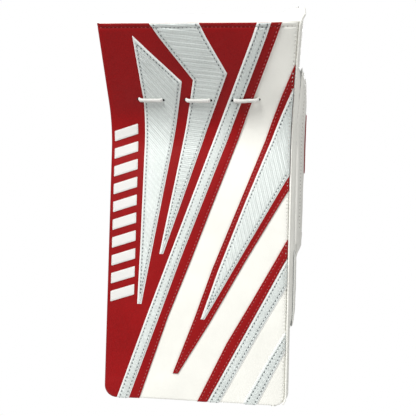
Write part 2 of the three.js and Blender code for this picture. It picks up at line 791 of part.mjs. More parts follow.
for (const [name, { place, length }] of Object.entries(FINGERS)) {
  const centreX = HAND_CENTRE_X + place * FINGER_PITCH;
  const curl = 9;
  const lineAt = (reach) => new THREE.Vector3(
    centreX,
    KNUCKLE_DEPTH + curl * (reach / length) ** 2,
    KNUCKLE_HEIGHT - reach,
  );
  add(`finger_${name}`, 'palmLeather', pocket(
    lineAt, X_AXIS, Y_AXIS, FINGER_HALF_WIDTH, FINGER_HALF_DEPTH, length, FINGER_WALL,
  ));
}

const THUMB_BASE = new THREE.Vector3(63, 68, 212);
const THUMB_DIRECTION = new THREE.Vector3(0.3, 0.42, -0.86).normalize();
const THUMB_LENGTH = 70;
const THUMB_RADIUS = 14;
const THUMB_ACROSS = new THREE.Vector3().crossVectors(THUMB_DIRECTION, Y_AXIS).normalize();
const THUMB_THROUGH = new THREE.Vector3().crossVectors(THUMB_ACROSS, THUMB_DIRECTION).normalize();

const thumbLine = (reach) => THUMB_BASE.clone().add(THUMB_DIRECTION.clone().multiplyScalar(reach));

add('thumb_stall', 'palmLeather', pocket(
  thumbLine, THUMB_ACROSS, THUMB_THROUGH, THUMB_RADIUS, THUMB_RADIUS, THUMB_LENGTH, FINGER_WALL,
));

// The padded shield over the outer side of the thumb: a shell over foam.
function thumbShield(inner, outer) {
  const face = (offset) => [6, 22, 38, 50].map((reach) => {
    const centre = thumbLine(reach);
    const row = [];
    for (let angle = -20; angle <= 100; angle += 20) {
      const turn = THREE.MathUtils.degToRad(angle);
      const radius = THUMB_RADIUS + offset - (reach > 38 ? 0.5 : 0);
      row.push(centre.clone()
        .add(THUMB_ACROSS.clone().multiplyScalar(radius * Math.cos(turn)))
        .add(THUMB_THROUGH.clone().multiplyScalar(-radius * Math.sin(turn))));
    }
    return row;
  });
  return sheetSolid(face(outer), face(inner));
}

add('thumb_foam', 'foam', thumbShield(1, 5));
add('thumb_shield', 'whiteLeather', thumbShield(5.4, 6.8));

export default blocker;
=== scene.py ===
"""Looks for the goalkeeper's blocker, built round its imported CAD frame.

Sizes are in millimetres, in the CAD source's own layout (board from z = 0), and placed() moves
them to the frame: metres, with the origin in the middle of the grip.
"""
import math

import bmesh
import bpy
import numpy as np
from mathutils import Matrix, Vector


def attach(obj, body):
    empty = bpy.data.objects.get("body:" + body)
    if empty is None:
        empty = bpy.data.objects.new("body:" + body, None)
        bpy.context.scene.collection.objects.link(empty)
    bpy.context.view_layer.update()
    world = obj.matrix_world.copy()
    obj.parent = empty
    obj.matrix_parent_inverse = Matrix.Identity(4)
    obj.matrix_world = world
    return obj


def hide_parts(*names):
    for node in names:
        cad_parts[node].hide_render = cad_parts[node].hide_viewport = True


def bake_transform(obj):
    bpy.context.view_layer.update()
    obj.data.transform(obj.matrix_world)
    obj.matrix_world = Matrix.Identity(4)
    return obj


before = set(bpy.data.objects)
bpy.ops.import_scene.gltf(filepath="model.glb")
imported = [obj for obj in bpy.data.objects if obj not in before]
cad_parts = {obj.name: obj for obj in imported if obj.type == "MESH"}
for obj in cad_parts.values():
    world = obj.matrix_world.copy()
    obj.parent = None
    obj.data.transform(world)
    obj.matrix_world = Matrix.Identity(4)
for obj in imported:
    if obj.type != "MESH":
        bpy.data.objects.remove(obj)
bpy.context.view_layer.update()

# ------------------------------------------------------------------ sizes, as in the CAD source

MM = 0.001
# One millimetre in the surface coordinates.
SURFACE_SCALE = 0.01
GRIP_CENTRE = np.array([-2.0, 61.0, 205.0])
LENGTH = 381.0
HALF_WIDTH = 92.0
FLAT_LENGTH = 257.0
BEND_RADIUS = 75.0
BEND_ANGLE = math.radians(36)
BEND_END = FLAT_LENGTH + BEND_RADIUS * BEND_ANGLE
FLARE_DEPTH = 14.0
FLARE = {"left": 2.0, "right": 5.0}
CORNER_RADIUS = {"left": 12.0, "right": 9.0}
BACK_DEPTH = 29.2
TOP_EASE = 1.1
TOP_EASE_RUN = 13.0
HAND_CENTRE_X = -2.0
HAND_FRONT = 41.5
KNUCKLE = (58.0, 150.0)

# How far a red panel's top lies in front of the skin, and how far the border, foot and top of a silver
# panel lie in front of the layer it is sewn to.
PANEL_LIFT = 1.3
BORDER_LIFT = 0.8
SILVER_FOOT = 0.5
SILVER_LIFT = 1.5

# Sewing.
STITCH_PITCH = 3.8
STITCH_LENGTH = 1.8
STITCH_RADIUS = 0.46
BORDER_WIDTH = 1.3
SILVER_SEAM = 1.7
RED_SEAM = 2.1


# ------------------------------------------------------------------ meshes

def placed(points):
    """Points moved from the CAD source's layout, in millimetres, to the frame, in metres."""
    return (np.asarray(points, float) - GRIP_CENTRE) * MM


def spot(point):
    """One point in the frame, as a tuple."""
    return tuple(placed(point))


def grid_quads(rows, columns, wrap=False):
    """Quads through a grid of points; wrap also joins the last column to the first."""
    i, j = np.meshgrid(np.arange(rows - 1), np.arange(columns if wrap else columns - 1), indexing="ij")
    k = (j + 1) % columns
    quads = np.stack([i * columns + j, i * columns + k, (i + 1) * columns + k, (i + 1) * columns + j], -1)
    return quads.reshape(-1, 4)


def capped_quads(rows, sides):
    """The faces of a closed tube: its wall, and one flat face at each end."""
    faces = [list(quad) for quad in grid_quads(rows, sides, wrap=True)]
    faces.append(list(range(sides))[::-1])
    faces.append(list(range((rows - 1) * sides, rows * sides)))
    return faces


def make_object(name, points, faces, materials, uv=None, indices=None):
    """An object from points in millimetres. uv is one pair for each point, in millimetres too."""
    mesh = bpy.data.meshes.new(name)
    mesh.from_pydata(placed(points).tolist(), [], [list(map(int, f)) for f in faces])
    for material in materials:
        mesh.materials.append(material)
    if indices is not None:
        mesh.polygons.foreach_set("material_index", np.asarray(indices, np.int32))
    if uv is not None:
        layer = mesh.uv_layers.new(name="surface")
        loops = np.zeros(len(mesh.loops), np.int32)
        mesh.loops.foreach_get("vertex_index", loops)
        surface = np.asarray(uv, float)[loops] * SURFACE_SCALE
        layer.data.foreach_set("uv", surface.astype(np.float32).ravel())
    mesh.polygons.foreach_set("use_smooth", np.full(len(mesh.polygons), True))
    mesh.validate()
    mesh.update()
    obj = bpy.data.objects.new(name, mesh)
    bpy.context.scene.collection.objects.link(obj)
    return obj


def finish_piece(obj, body="root", replaces=()):
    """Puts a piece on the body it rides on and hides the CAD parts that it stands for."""
    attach(obj, body)
    if replaces:
        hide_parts(*replaces)
    return obj


def add_modifier(obj, kind, **settings):
    """A modifier with its settings."""
    modifier = obj.modifiers.new(kind.lower(), kind)
    for key, value in settings.items():
        setattr(modifier, key, value)
    return modifier


def apply_modifiers(obj):
    """Replaces the mesh by its evaluated shape."""
    depsgraph = bpy.context.evaluated_depsgraph_get()
    mesh = bpy.data.meshes.new_from_object(obj.evaluated_get(depsgraph))
    obj.modifiers.clear()
    obj.data = mesh
    return obj


def smooth_step(t):
    """Rises smoothly from 0 to 1 as t does."""
    t = np.clip(t, 0, 1)
    return t * t * (3 - 2 * t)


def bump_at(x, centre, width):
    """A bell of height 1 round a centre."""
    return np.exp(-(((x - centre) / width) ** 2))


def round_over(distance, radius):
    """Rises from 0 to 1 along a quarter circle as the distance from an edge grows to the radius."""
    return np.sqrt(1 - (1 - np.clip(distance / radius, 0, 1)) ** 2)


def inside_grid(a, b, scale):
    """Distance in from the edges of a grid of points, where one unit of b counts as scale of a."""
    return np.minimum(np.minimum(a - a.min(), a.max() - a), np.minimum(b - b.min(), b.max() - b) * scale)


def waves(a, b, scale, seed):
    """Gentle lumps, from -1 to 1, over two coordinates in millimetres."""
    local = np.random.default_rng(seed)
    total = np.zeros(np.broadcast(a, b).shape)
    for octave in range(1, 5):
        angle, phase = local.uniform(0, math.pi), local.uniform(0, 6.28)
        direction = a * math.cos(angle) + b * math.sin(angle)
        total = total + np.sin(direction * 2 * math.pi * octave ** 0.7 / scale + phase) / octave
    return total / 1.8


# ------------------------------------------------------------------ the board's curled surface

def board_points(u, s, depth):
    """Points u across the board, s up its face and depth behind it."""
    u, s, depth = np.broadcast_arrays(*(np.asarray(v, float) for v in (u, s, depth)))
    s = s + TOP_EASE * smooth_step((s - LENGTH + TOP_EASE_RUN) / TOP_EASE_RUN)
    angle = np.clip((s - FLAT_LENGTH) / BEND_RADIUS, 0, BEND_ANGLE)
    beyond = np.maximum(0, s - BEND_END)
    reach = BEND_RADIUS + depth
    y = -BEND_RADIUS + reach * np.cos(angle) - beyond * np.sin(angle)
    z = np.where(s <= FLAT_LENGTH, s, FLAT_LENGTH + reach * np.sin(angle) + beyond * np.cos(angle))
    return np.stack([u, y, z], -1)


def depth_direction(s):
    """The direction straight back into the board at a height up its face."""
    angle = np.clip((np.asarray(s, float) - FLAT_LENGTH) / BEND_RADIUS, 0, BEND_ANGLE)
    return np.stack([np.zeros_like(angle), np.cos(angle), np.sin(angle)], -1)


def flare(side, depth):
    """How much wider the board is on one side at a depth."""
    return FLARE[side] * np.clip(depth, 0, FLARE_DEPTH) / FLARE_DEPTH


def board_edge(side, s, depth=0.0, inset=0.0):
    """u of the board's side, with its rounded bottom corner."""
    sign = -1 if side == "left" else 1
    radius = CORNER_RADIUS[side] - inset
    drop = np.maximum(0, radius - np.maximum(0, np.asarray(s, float) - inset))
    corner_cut = radius - np.sqrt(radius**2 - drop**2)
    return sign * (HALF_WIDTH + flare(side, depth) - inset - corner_cut)


ROLL = {"left": 5.5, "right": 2.4, "bottom": 2.6, "top": 1.0}
TOP_SEAM = 3.5
SIDE_SEAM = 1.4
# The face falls away gently towards the piping: (depth at the edge, width of the fall).
EDGE_FALLS = [(0.6, 7.0), (0.5, 26.0)]
EDGE_FALL = sum(depth for depth, _ in EDGE_FALLS)


def rolled(distance, radius):
    """How far a rolled edge has fallen back at a distance from the outline."""
    inside = np.clip(radius - distance, 0, radius)
    return radius - np.sqrt(radius**2 - inside**2)


def spaced(low, high, step, extra=()):
    """Values about step apart, with the extra ones put in."""
    count = max(1, int(math.ceil((high - low) / step)))
    values = list(np.linspace(low, high, count + 1)) + [v for v in extra if low < v < high]
    values = sorted(values)
    kept = [values[0]]
    for value in values[1:]:
        if value - kept[-1] > 0.12:
            kept.append(value)
    kept[-1] = high
    return np.array(kept)


# ------------------------------------------------------------------ materials

def new_material(name, colour, roughness, metallic=0.0):
    """A material, its node tree and its shader."""
    material = bpy.data.materials.new(name)
    material.use_nodes = True
    shader = material.node_tree.nodes["Principled BSDF"]
    shader.inputs["Base Color"].default_value = (*colour, 1)
    shader.inputs["Roughness"].default_value = roughness
    shader.inputs["Metallic"].default_value = metallic
    material.diffuse_color = (*colour, 1)
    return material, material.node_tree, shader


def node(tree, kind, inputs=None, **settings):
    """A shader node, with its inputs linked or set."""
    made = tree.nodes.new(kind)
    for key, value in settings.items():
        setattr(made, key, value)
    for key, value in (inputs or {}).items():
        if isinstance(value, bpy.types.NodeSocket):
            tree.links.new(value, made.inputs[key])
        else:
            made.inputs[key].default_value = value
    return made


def coordinates(tree, use_surface=False):
    """Object coordinates in metres, or the surface coordinates of a swept or ribbed piece."""
    made = node(tree, "ShaderNodeTexCoord")
    return made.outputs["UV" if use_surface else "Object"]


def noise(tree, where, scale, detail=3.0, distortion=0.0):
    """Smooth random shade, from 0 to 1."""
    return node(tree, "ShaderNodeTexNoise", {
        "Vector": where, "Scale": scale, "Detail": detail, "Distortion": distortion}).outputs["Fac"]


def maths(tree, operation, a, b=0.0):
    """One operation on two values."""
    return node(tree, "ShaderNodeMath", {0: a, 1: b}, operation=operation).outputs[0]


def span(tree, value, low, high, to_low, to_high):
    """A value from one range moved to another."""
    return node(tree, "ShaderNodeMapRange", {
        "Value": value, "From Min": low, "From Max": high, "To Min": to_low, "To Max": to_high,
    }).outputs["Result"]


def bump(tree, height, distance, strength=1.0, normal=None):
    """The normal of a raised pattern, on top of another one if given."""
    inputs = {"Height": height, "Distance": distance, "Strength": strength}
    if normal is not None:
        inputs["Normal"] = normal
    return node(tree, "ShaderNodeBump", inputs).outputs["Normal"]


def tinted(tree, shader, colour, value, dark=0.88, light=1.06, low=0.3, high=0.7):
    """Varies the base colour between a darker and a lighter tint of itself."""
    share = span(tree, value, low, high, 0, 1)
    mixed = node(tree, "ShaderNodeMix", {0: share}, data_type="RGBA")
    mixed.inputs[6].default_value = (*[c * dark for c in colour], 1)
    mixed.inputs[7].default_value = (*[min(1, c * light) for c in colour], 1)
    tree.links.new(mixed.outputs[2], shader.inputs["Base Color"])
    return mixed.outputs[2]


def worn(tree, shader, base, amount, colour, where, scale=26):
    """Scattered light scuffs of another colour."""
    scuffs = span(tree, noise(tree, where, scale, 9.0, 1.2), 0.6, 0.76, 0, amount)
    mixed = node(tree, "ShaderNodeMix", {0: scuffs, 6: base}, data_type="RGBA")
    mixed.inputs[7].default_value = (*colour, 1)
    tree.links.new(mixed.outputs[2], shader.inputs["Base Color"])


def coated_leather(name, colour, roughness, grain=0.00013, scuff=(0.8, 0.78, 0.72), gloss=0.5, speckle=0.0):
    """Smooth synthetic leather: fine pebble grain, faint creases, light scuffs and speckled colour."""
    material, tree, shader = new_material(name, colour, roughness)
    where = coordinates(tree)
    cells = node(tree, "ShaderNodeTexVoronoi", {"Vector": where, "Scale": 900.0}).outputs["Distance"]
    fine = noise(tree, where, 2600, 2.0)
    pebble = maths(tree, "ADD", cells, maths(tree, "MULTIPLY", fine, 0.5))
    creases = noise(tree, where, 70, 6.0, 0.7)
    normal = bump(tree, creases, 0.0006, 0.35)
    tree.links.new(bump(tree, pebble, grain, 0.55, normal), shader.inputs["Normal"])
    patches = maths(tree, "MULTIPLY", noise(tree, where, 18, 4.0), 1 - speckle)
    dots = maths(tree, "MULTIPLY", noise(tree, where, 950, 2.0), speckle)
    mottle = maths(tree, "ADD", patches, dots)
    base = tinted(tree, shader, colour, mottle, 0.93 - 0.2 * speckle, 1.04 + 0.2 * speckle)
    worn(tree, shader, base, 0.16, scuff, where)
    rough = span(tree, noise(tree, where, 240, 5.0), 0.3, 0.7, roughness - 0.07, roughness + 0.09)
    tree.links.new(rough, shader.inputs["Roughness"])
    shader.inputs["Specular IOR Level"].default_value = gloss
    return material


# Pitches in the surface coordinates, in millimetres.
PEARL_THREAD = 2.1
RIB_UV_PITCH = 2.5
BRAID_PITCH = 1.4


def pearl_leather(name, colour, ribbed=False):
    """Pearl-silver synthetic leather with a fine woven emboss, and painted shade in the grooves of its ribs.
    """
    material, tree, shader = new_material(name, colour, 0.42, 0.1)
    where = coordinates(tree, use_surface=True)
    split = node(tree, "ShaderNodeSeparateXYZ", {"Vector": where})
    across = maths(tree, "ADD", split.outputs["X"], split.outputs["Y"])
    down = maths(tree, "SUBTRACT", split.outputs["X"], split.outputs["Y"])
    thread = 2 * math.pi / (PEARL_THREAD * SURFACE_SCALE)
    weft = maths(tree, "SINE", maths(tree, "MULTIPLY", across, thread))
    warp = maths(tree, "SINE", maths(tree, "MULTIPLY", down, thread))
    woven = maths(tree, "MULTIPLY", weft, warp)
    flat = coordinates(tree)
    speckle = noise(tree, flat, 700, 3.0)
    height = maths(tree, "ADD", woven, maths(tree, "MULTIPLY", speckle, 0.8))
    tree.links.new(bump(tree, height, 0.00022, 0.75), shader.inputs["Normal"])
    shade = maths(tree, "ADD", maths(tree, "MULTIPLY", noise(tree, flat, 30, 5.0), 0.3),
                  maths(tree, "MULTIPLY", speckle, 0.55))
    # Painted shade for ribbed panels: the colour is darker in the grooves between the ribs and lighter on
    # their crests.
    if ribbed:
        turn = 2 * math.pi / (RIB_UV_PITCH * SURFACE_SCALE)
        ridge = maths(tree, "COSINE", maths(tree, "MULTIPLY", split.outputs["Y"], turn))
        shade = maths(tree, "ADD", shade, span(tree, ridge, -1, 1, 0.05, 0.17))
    else:
        shade = maths(tree, "ADD", shade, span(tree, woven, -1, 1, 0.0, 0.24))
    tinted(tree, shader, colour, shade, 0.84, 1.08)
    tree.links.new(span(tree, speckle, 0.3, 0.7, 0.3, 0.46), shader.inputs["Roughness"])
    shader.inputs["Coat Weight"].default_value = 0.25
    shader.inputs["Coat Roughness"].default_value = 0.22
    return material


def woven_fabric(name, colour, thread=0.0011, depth=0.00025):
    """Plain-weave cloth: crossing threads in the surface and in the colour."""
    material, tree, shader = new_material(name, colour, 0.8)
    where = coordinates(tree)
    split = node(tree, "ShaderNodeSeparateXYZ", {"Vector": where})
    turn = math.pi / thread
    side = maths(tree, "ADD", split.outputs["X"], split.outputs["Y"])
    weft = maths(tree, "SINE", maths(tree, "MULTIPLY", side, turn))
    warp = maths(tree, "SINE", maths(tree, "MULTIPLY", split.outputs["Z"], turn))
    woven = maths(tree, "MULTIPLY", weft, warp)
    fuzz = noise(tree, where, 1500, 2.0)
    height = maths(tree, "ADD", woven, fuzz)
    tree.links.new(bump(tree, height, depth, 0.8), shader.inputs["Normal"])
    shade = maths(tree, "ADD", span(tree, woven, -1, 1, 0.3, 0.6),
                  maths(tree, "MULTIPLY", noise(tree, where, 40, 4.0), 0.2))
    tinted(tree, shader, colour, shade, 0.72, 1.15)
    shader.inputs["Sheen Weight"].default_value = 0.25
    shader.inputs["Sheen Roughness"].default_value = 0.45
    return material


def suede(name, colour):
    """Soft napped palm leather, smudged by use."""
    material, tree, shader = new_material(name, colour, 0.86)
    where = coordinates(tree)
    nap = noise(tree, where, 1800, 4.0)
    folds = noise(tree, where, 110, 5.0, 0.8)
    normal = bump(tree, folds, 0.0007, 0.4)
    tree.links.new(bump(tree, nap, 0.00025, 0.7, normal), shader.inputs["Normal"])
    base = tinted(tree, shader, colour, noise(tree, where, 35, 6.0), 0.84, 1.06)
    worn(tree, shader, base, 0.22, tuple(c * 0.55 for c in colour), where, 14)
    shader.inputs["Sheen Weight"].default_value = 0.35
    shader.inputs["Sheen Roughness"].default_value = 0.6
    return material


def foam(name, colour):
    """Closed-cell foam, with its cells in the surface."""
    material, tree, shader = new_material(name, colour, 0.95)
    where = coordinates(tree)
    cells = node(tree, "ShaderNodeTexVoronoi", {"Vector": where, "Scale": 700.0}).outputs["Distance"]
    tree.links.new(bump(tree, cells, 0.0004, 0.7), shader.inputs["Normal"])
    tinted(tree, shader, colour, cells, 0.7, 1.15, 0.1, 0.7)
    return material


def sheet_plastic(name, colour):
    """Smooth plastic sheet with a slight haze."""
    material, tree, shader = new_material(name, colour, 0.35)
    where = coordinates(tree)
    haze = noise(tree, where, 120, 4.0)
    tree.links.new(span(tree, haze, 0.3, 0.7, 0.28, 0.5), shader.inputs["Roughness"])
    tree.links.new(bump(tree, noise(tree, where, 500, 3.0), 0.00004), shader.inputs["Normal"])
    tinted(tree, shader, colour, haze, 0.95, 1.02)
    return material


def sewing_thread(name, colour, roughness=0.55):
    """Twisted thread, with its ply in the surface."""
    material, tree, shader = new_material(name, colour, roughness)
    where = coordinates(tree)
    ply = node(tree, "ShaderNodeTexWave", {"Vector": where, "Scale": 420.0, "Distortion": 1.5},
               bands_direction="DIAGONAL").outputs["Fac"]
    tree.links.new(bump(tree, ply, 0.0001, 0.8), shader.inputs["Normal"])
    tinted(tree, shader, colour, ply, 0.75, 1.12)
    shader.inputs["Sheen Weight"].default_value = 0.2
    return material


def braided_cord(name, colour):
    """Flat braided lace: a diagonal braid read from the surface coordinates."""
    material, tree, shader = new_material(name, colour, 0.75)
    where = coordinates(tree, use_surface=True)
    split = node(tree, "ShaderNodeSeparateXYZ", {"Vector": where})
    turn = 2 * math.pi / (BRAID_PITCH * SURFACE_SCALE)
    strands = []
    for operation in ("ADD", "SUBTRACT"):
        slant = maths(tree, operation, split.outputs["X"], split.outputs["Y"])
        strands.append(maths(tree, "SINE", maths(tree, "MULTIPLY", slant, turn)))
    braid = maths(tree, "MAXIMUM", *strands)
    tree.links.new(bump(tree, braid, 0.00022, 0.8), shader.inputs["Normal"])
    tinted(tree, shader, colour, braid, 0.86, 1.03, -0.4, 0.8)
    shader.inputs["Sheen Weight"].default_value = 0.3
    return material


def napped_tape(name, colour):
    """Hook and loop tape: dense tufts."""
    material, tree, shader = new_material(name, colour, 1.0)
    where = coordinates(tree)
    tufts = node(tree, "ShaderNodeTexVoronoi", {"Vector": where, "Scale": 1100.0}).outputs["Distance"]
    tree.links.new(bump(tree, tufts, 0.0006, 0.9), shader.inputs["Normal"])
    tinted(tree, shader, colour, tufts, 0.5, 1.9, 0.1, 0.6)
    shader.inputs["Sheen Weight"].default_value = 0.4
    return material


WHITE = coated_leather("white_leather", (0.83, 0.825, 0.765), 0.46)
RED = coated_leather("red_leather", (0.262, 0.004, 0.005), 0.5, 0.0002, (0.34, 0.03, 0.03), 0.16, speckle=0.6)
SILVER_COLOUR = (0.65, 0.695, 0.67)
SILVER = pearl_leather("silver_leather", SILVER_COLOUR)
SILVER_RIBBED = pearl_leather("silver_ribbed_leather", SILVER_COLOUR, ribbed=True)
BORDER = coated_leather("border_leather", (0.84, 0.85, 0.83), 0.5)
GREY_CLOTH = woven_fabric("grey_nylon", (0.42, 0.43, 0.42))
BLACK_CLOTH = woven_fabric("black_nylon", (0.018, 0.018, 0.020), 0.0016)
WEBBING = woven_fabric("strap_webbing", (0.014, 0.014, 0.016), 0.0024, depth=0.0005)
SUEDE = suede("palm_suede", (0.66, 0.63, 0.55))
FOAM = foam("closed_cell_foam", (0.09, 0.10, 0.11))
PLASTIC = sheet_plastic("stiffener_plastic", (0.75, 0.75, 0.72))
TAPE = napped_tape("hook_and_loop", (0.012, 0.012, 0.013))
LACE = braided_cord("white_lace", (0.85, 0.84, 0.80))
GREY_THREAD = sewing_thread("grey_thread", (0.10, 0.11, 0.12))
RED_THREAD = sewing_thread("red_thread", (0.42, 0.055, 0.055))
WHITE_THREAD = sewing_thread("white_thread", (0.62, 0.61, 0.56))
SATIN_THREAD = sewing_thread("satin_thread", (0.84, 0.83, 0.80), 0.38)
# Near-black painted shade for the mouths of the lace holes, made with the foam recipe.
HOLE_SHADE = foam("punched_hole_shade", (0.012, 0.012, 0.013))
SATIN_BARS = braided_cord("satin_bars", (0.84, 0.83, 0.80))
SUEDE_RED = suede("red_suede", (0.36, 0.03, 0.03))


# ------------------------------------------------------------------ sweeps and stitches

def path_run(path):
    """The length run at each point of a path."""
    return np.concatenate([[0], np.cumsum(np.linalg.norm(np.diff(path, axis=0), axis=1))])


def swept(path, half_width, half_height, sides=12, up=(0, 0, 1), scale=None):
    """Points of an oval tube along a path, as (rings, sides, 3), and their surface coordinates."""
    path = np.asarray(path, float)
    count = len(path)
    tangents = np.gradient(path, axis=0)
    tangents /= np.linalg.norm(tangents, axis=1)[:, None]
    normal = np.array(up, float)
    normals = np.zeros_like(path)
    for i in range(count):
        normal = normal - tangents[i] * (normal @ tangents[i])
        normal = normal / np.linalg.norm(normal)
        normals[i] = normal
    across = np.cross(tangents, normals)
    angles = np.linspace(0, 2 * math.pi, sides, endpoint=False)
    size = np.ones(count) if scale is None else np.asarray(scale, float)
    ring = (across[:, None] * (half_width * np.cos(angles))[None, :, None]
            + normals[:, None] * (half_height * np.sin(angles))[None, :, None])
    points = path[:, None] + ring * size[:, None, None]
    run = path_run(path)
    around = angles / (2 * math.pi) * math.pi * (half_width + half_height)
    uv = np.stack(np.broadcast_arrays(around[None, :], run[:, None]), -1)
    return points, uv


def tube_object(name, path, half_width, half_height, materials, sides=12, up=(0, 0, 1), scale=None):
    """A closed oval tube along a path."""
    points, uv = swept(path, half_width, half_height, sides, up, scale)
    faces = capped_quads(len(points), sides)
    return make_object(name, points.reshape(-1, 3), faces, materials, uv.reshape(-1, 2))


def resample(path, step):
    """A path with points at even steps along it."""
    path = np.asarray(path, float)
    run = path_run(path)
    count = max(2, int(run[-1] / step) + 1)
    at = np.linspace(0, run[-1], count)
    return np.stack([np.interp(at, run, path[:, k]) for k in range(path.shape[1])], -1)


def rounded_path(path, step=0.8, passes=12):
    """A path with its corners eased, ends kept."""
    path = resample(path, step)
    for _ in range(passes):
        path[1:-1] = (path[:-2] + 2 * path[1:-1] + path[2:]) / 4
    return path


CAPSULE_SIDES = 6
# (place along the stitch, size, rise) of each ring of one stitch.
CAPSULE_RINGS = [(-0.5, 0.35, -0.9), (-0.4, 0.8, -0.35), (-0.15, 1.0, 0.1), (0.15, 1.0, 0.1),
                 (0.4, 0.8, -0.35), (0.5, 0.35, -0.9)]


def capsule(length, radius):
    """A stitch along +X that dips at both ends."""
    angles = np.linspace(0, 2 * math.pi, CAPSULE_SIDES, endpoint=False)
    points = [[x * length, radius * size * math.cos(a), radius * (size * math.sin(a) + rise)]
              for x, size, rise in CAPSULE_RINGS for a in angles]
    return np.array(points), capped_quads(len(CAPSULE_RINGS), CAPSULE_SIDES)


class Stitches:
    """Collects stitches of one thread, then makes them one object."""

    def __init__(self, name, material, length=STITCH_LENGTH, radius=STITCH_RADIUS):
        self.name, self.material = name, material
        self.shape, self.faces = capsule(length, radius)
        self.places = []

    def add(self, centre, along, outward):
        """One stitch that lies along a direction and faces outward."""
        along = along / np.linalg.norm(along)
        outward = outward - along * (outward @ along)
        outward = outward / np.linalg.norm(outward)
        side = np.cross(outward, along)
        self.places.append((centre, along, side, outward))

    def follow(self, path, outwards, pitch=STITCH_PITCH):
        """Stitches at an even pitch along a path of points, each with its outward direction."""
        path, outwards = np.asarray(path, float), np.asarray(outwards, float)
        run = path_run(path)
        count = int(run[-1] / pitch)
        if count < 1:
            return
        at = (np.arange(count) + 0.5) * run[-1] / count

        def at_run(values, where):
            return np.stack([np.interp(where, run, values[:, k]) for k in range(3)], -1)
        centres, ahead, behind = (at_run(path, at + shift) for shift in (0, 0.6, -0.6))
        facing = at_run(outwards, at)
        for centre, a, b, out in zip(centres, ahead, behind, facing):
            self.add(centre, a - b, out)

    def follow_ring(self, line, pitch=STITCH_PITCH):
        """Stitches along a line of points on the glove or cuff, facing out from the hand."""
        self.follow(line, ring_outward(line), pitch)

    def make(self, body="root"):
        """Makes the one object that holds all the stitches, on a body."""
        base = len(self.shape)
        points, faces = [], []
        for k, (centre, along, side, outward) in enumerate(self.places):
            turn = np.stack([along, side, outward])
            points.append(self.shape @ turn + centre)
            faces.extend([[base * k + v for v in face] for face in self.faces])
        obj = make_object(self.name, np.concatenate(points), faces, [self.material])
        return finish_piece(obj, body)


def face_path(points_su, lift):
    """Points on the padded face along a polyline of (s, u), and the outward direction at each."""
    line = resample(points_su, 1.2)
    s, u = line[:, 0], line[:, 1]
    return board_points(u, s, face_depth(u, s) - lift), -depth_direction(s)


# ------------------------------------------------------------------ the outline, walked round

OUTLINE_STEP = 3.0


def outline_stations():
    """(u, s, outward u, outward s) along the face outline: down the left, across the bottom, up the right."""
    stations = []
    left, right = CORNER_RADIUS["left"], CORNER_RADIUS["right"]
    for s in spaced(left, LENGTH, OUTLINE_STEP)[::-1]:
        stations.append((-HALF_WIDTH, s, -1.0, 0.0))
    for a in np.radians(np.linspace(0, 90, 9)[1:]):
        across, down = math.cos(a), math.sin(a)
        stations.append((-HALF_WIDTH + left - left * across, left - left * down, -across, -down))
    for u in spaced(-HALF_WIDTH + left, HALF_WIDTH - right, OUTLINE_STEP)[1:]:
        stations.append((u, 0.0, 0.0, -1.0))
    for a in np.radians(np.linspace(90, 0, 9)[1:]):
        across, down = math.cos(a), math.sin(a)
        stations.append((HALF_WIDTH - right + right * across, right - right * down, across, -down))
    for s in spaced(right, LENGTH, OUTLINE_STEP)[1:]:
        stations.append((HALF_WIDTH, s, 1.0, 0.0))
    return np.array(stations)


def widened(u, depth):
    """u with the board's flare at that depth added near its sides."""
    share = np.clip((np.abs(u) - 60) / 20, 0, 1)
    return u + np.where(u < 0, -flare("left", depth), flare("right", depth)) * share


CORNER_RISE = 0.2
GUSSET_SWELL = 0.9


def corner_rise(u, s, depth):
    """How far the leather is drawn up by the piping's tail at the top right corner."""
    return CORNER_RISE * np.asarray(depth) * smooth_step((u - 72) / 22) * smooth_step((s - LENGTH + 16) / 16)


def outline_at(stations, depth, outward=0.0):
    """The outline's points at a depth, with the board's flare, pushed outward by a distance."""
    u, s, nu, ns = stations.T
    return board_points(widened(u, depth) + nu * outward, s + ns * outward + corner_rise(u, s, depth), depth)


def edge_roll(stations):
    """The roll radius of the face at each station."""
    _, _, nu, ns = stations.T
    side = np.where(nu < 0, ROLL["left"], ROLL["right"] + EDGE_FALL)
    share = np.abs(nu) / (np.abs(nu) + np.abs(ns))
    return side * share + ROLL["bottom"] * (1 - share)


def inside_distance(u, s):
    """Distance in from the face's sides and corners, the roll radius that applies there, and s."""
    u, s = np.broadcast_arrays(np.asarray(u, float), np.asarray(s, float))
    distance = np.minimum(u + HALF_WIDTH, HALF_WIDTH - u)
    roll = np.where(u < 0, ROLL["left"], ROLL["right"])
    for side, sign in (("left", -1), ("right", 1)):
        radius = CORNER_RADIUS[side]
        across = sign * u - (HALF_WIDTH - radius)
        down = radius - s
        corner = (across > 0) & (down > 0)
        length = np.hypot(across, down)
        share = np.where(corner, across / np.maximum(across + down, 1e-6), 0)
        distance = np.where(corner, radius - length, distance)
        roll = np.where(corner, ROLL[side] * share + ROLL["bottom"] * (1 - share), roll)
    return distance, roll, s


# ------------------------------------------------------------------ the padded board

# The leather is drawn in at each stitch beside the piping.
PUCKER_PITCH = 3.6
PUCKER_DEPTH = 0.6
# How far the face swells forward in its middle, and how its foam is lumpy.
CROWN = 0.9
LUMP = 0.3


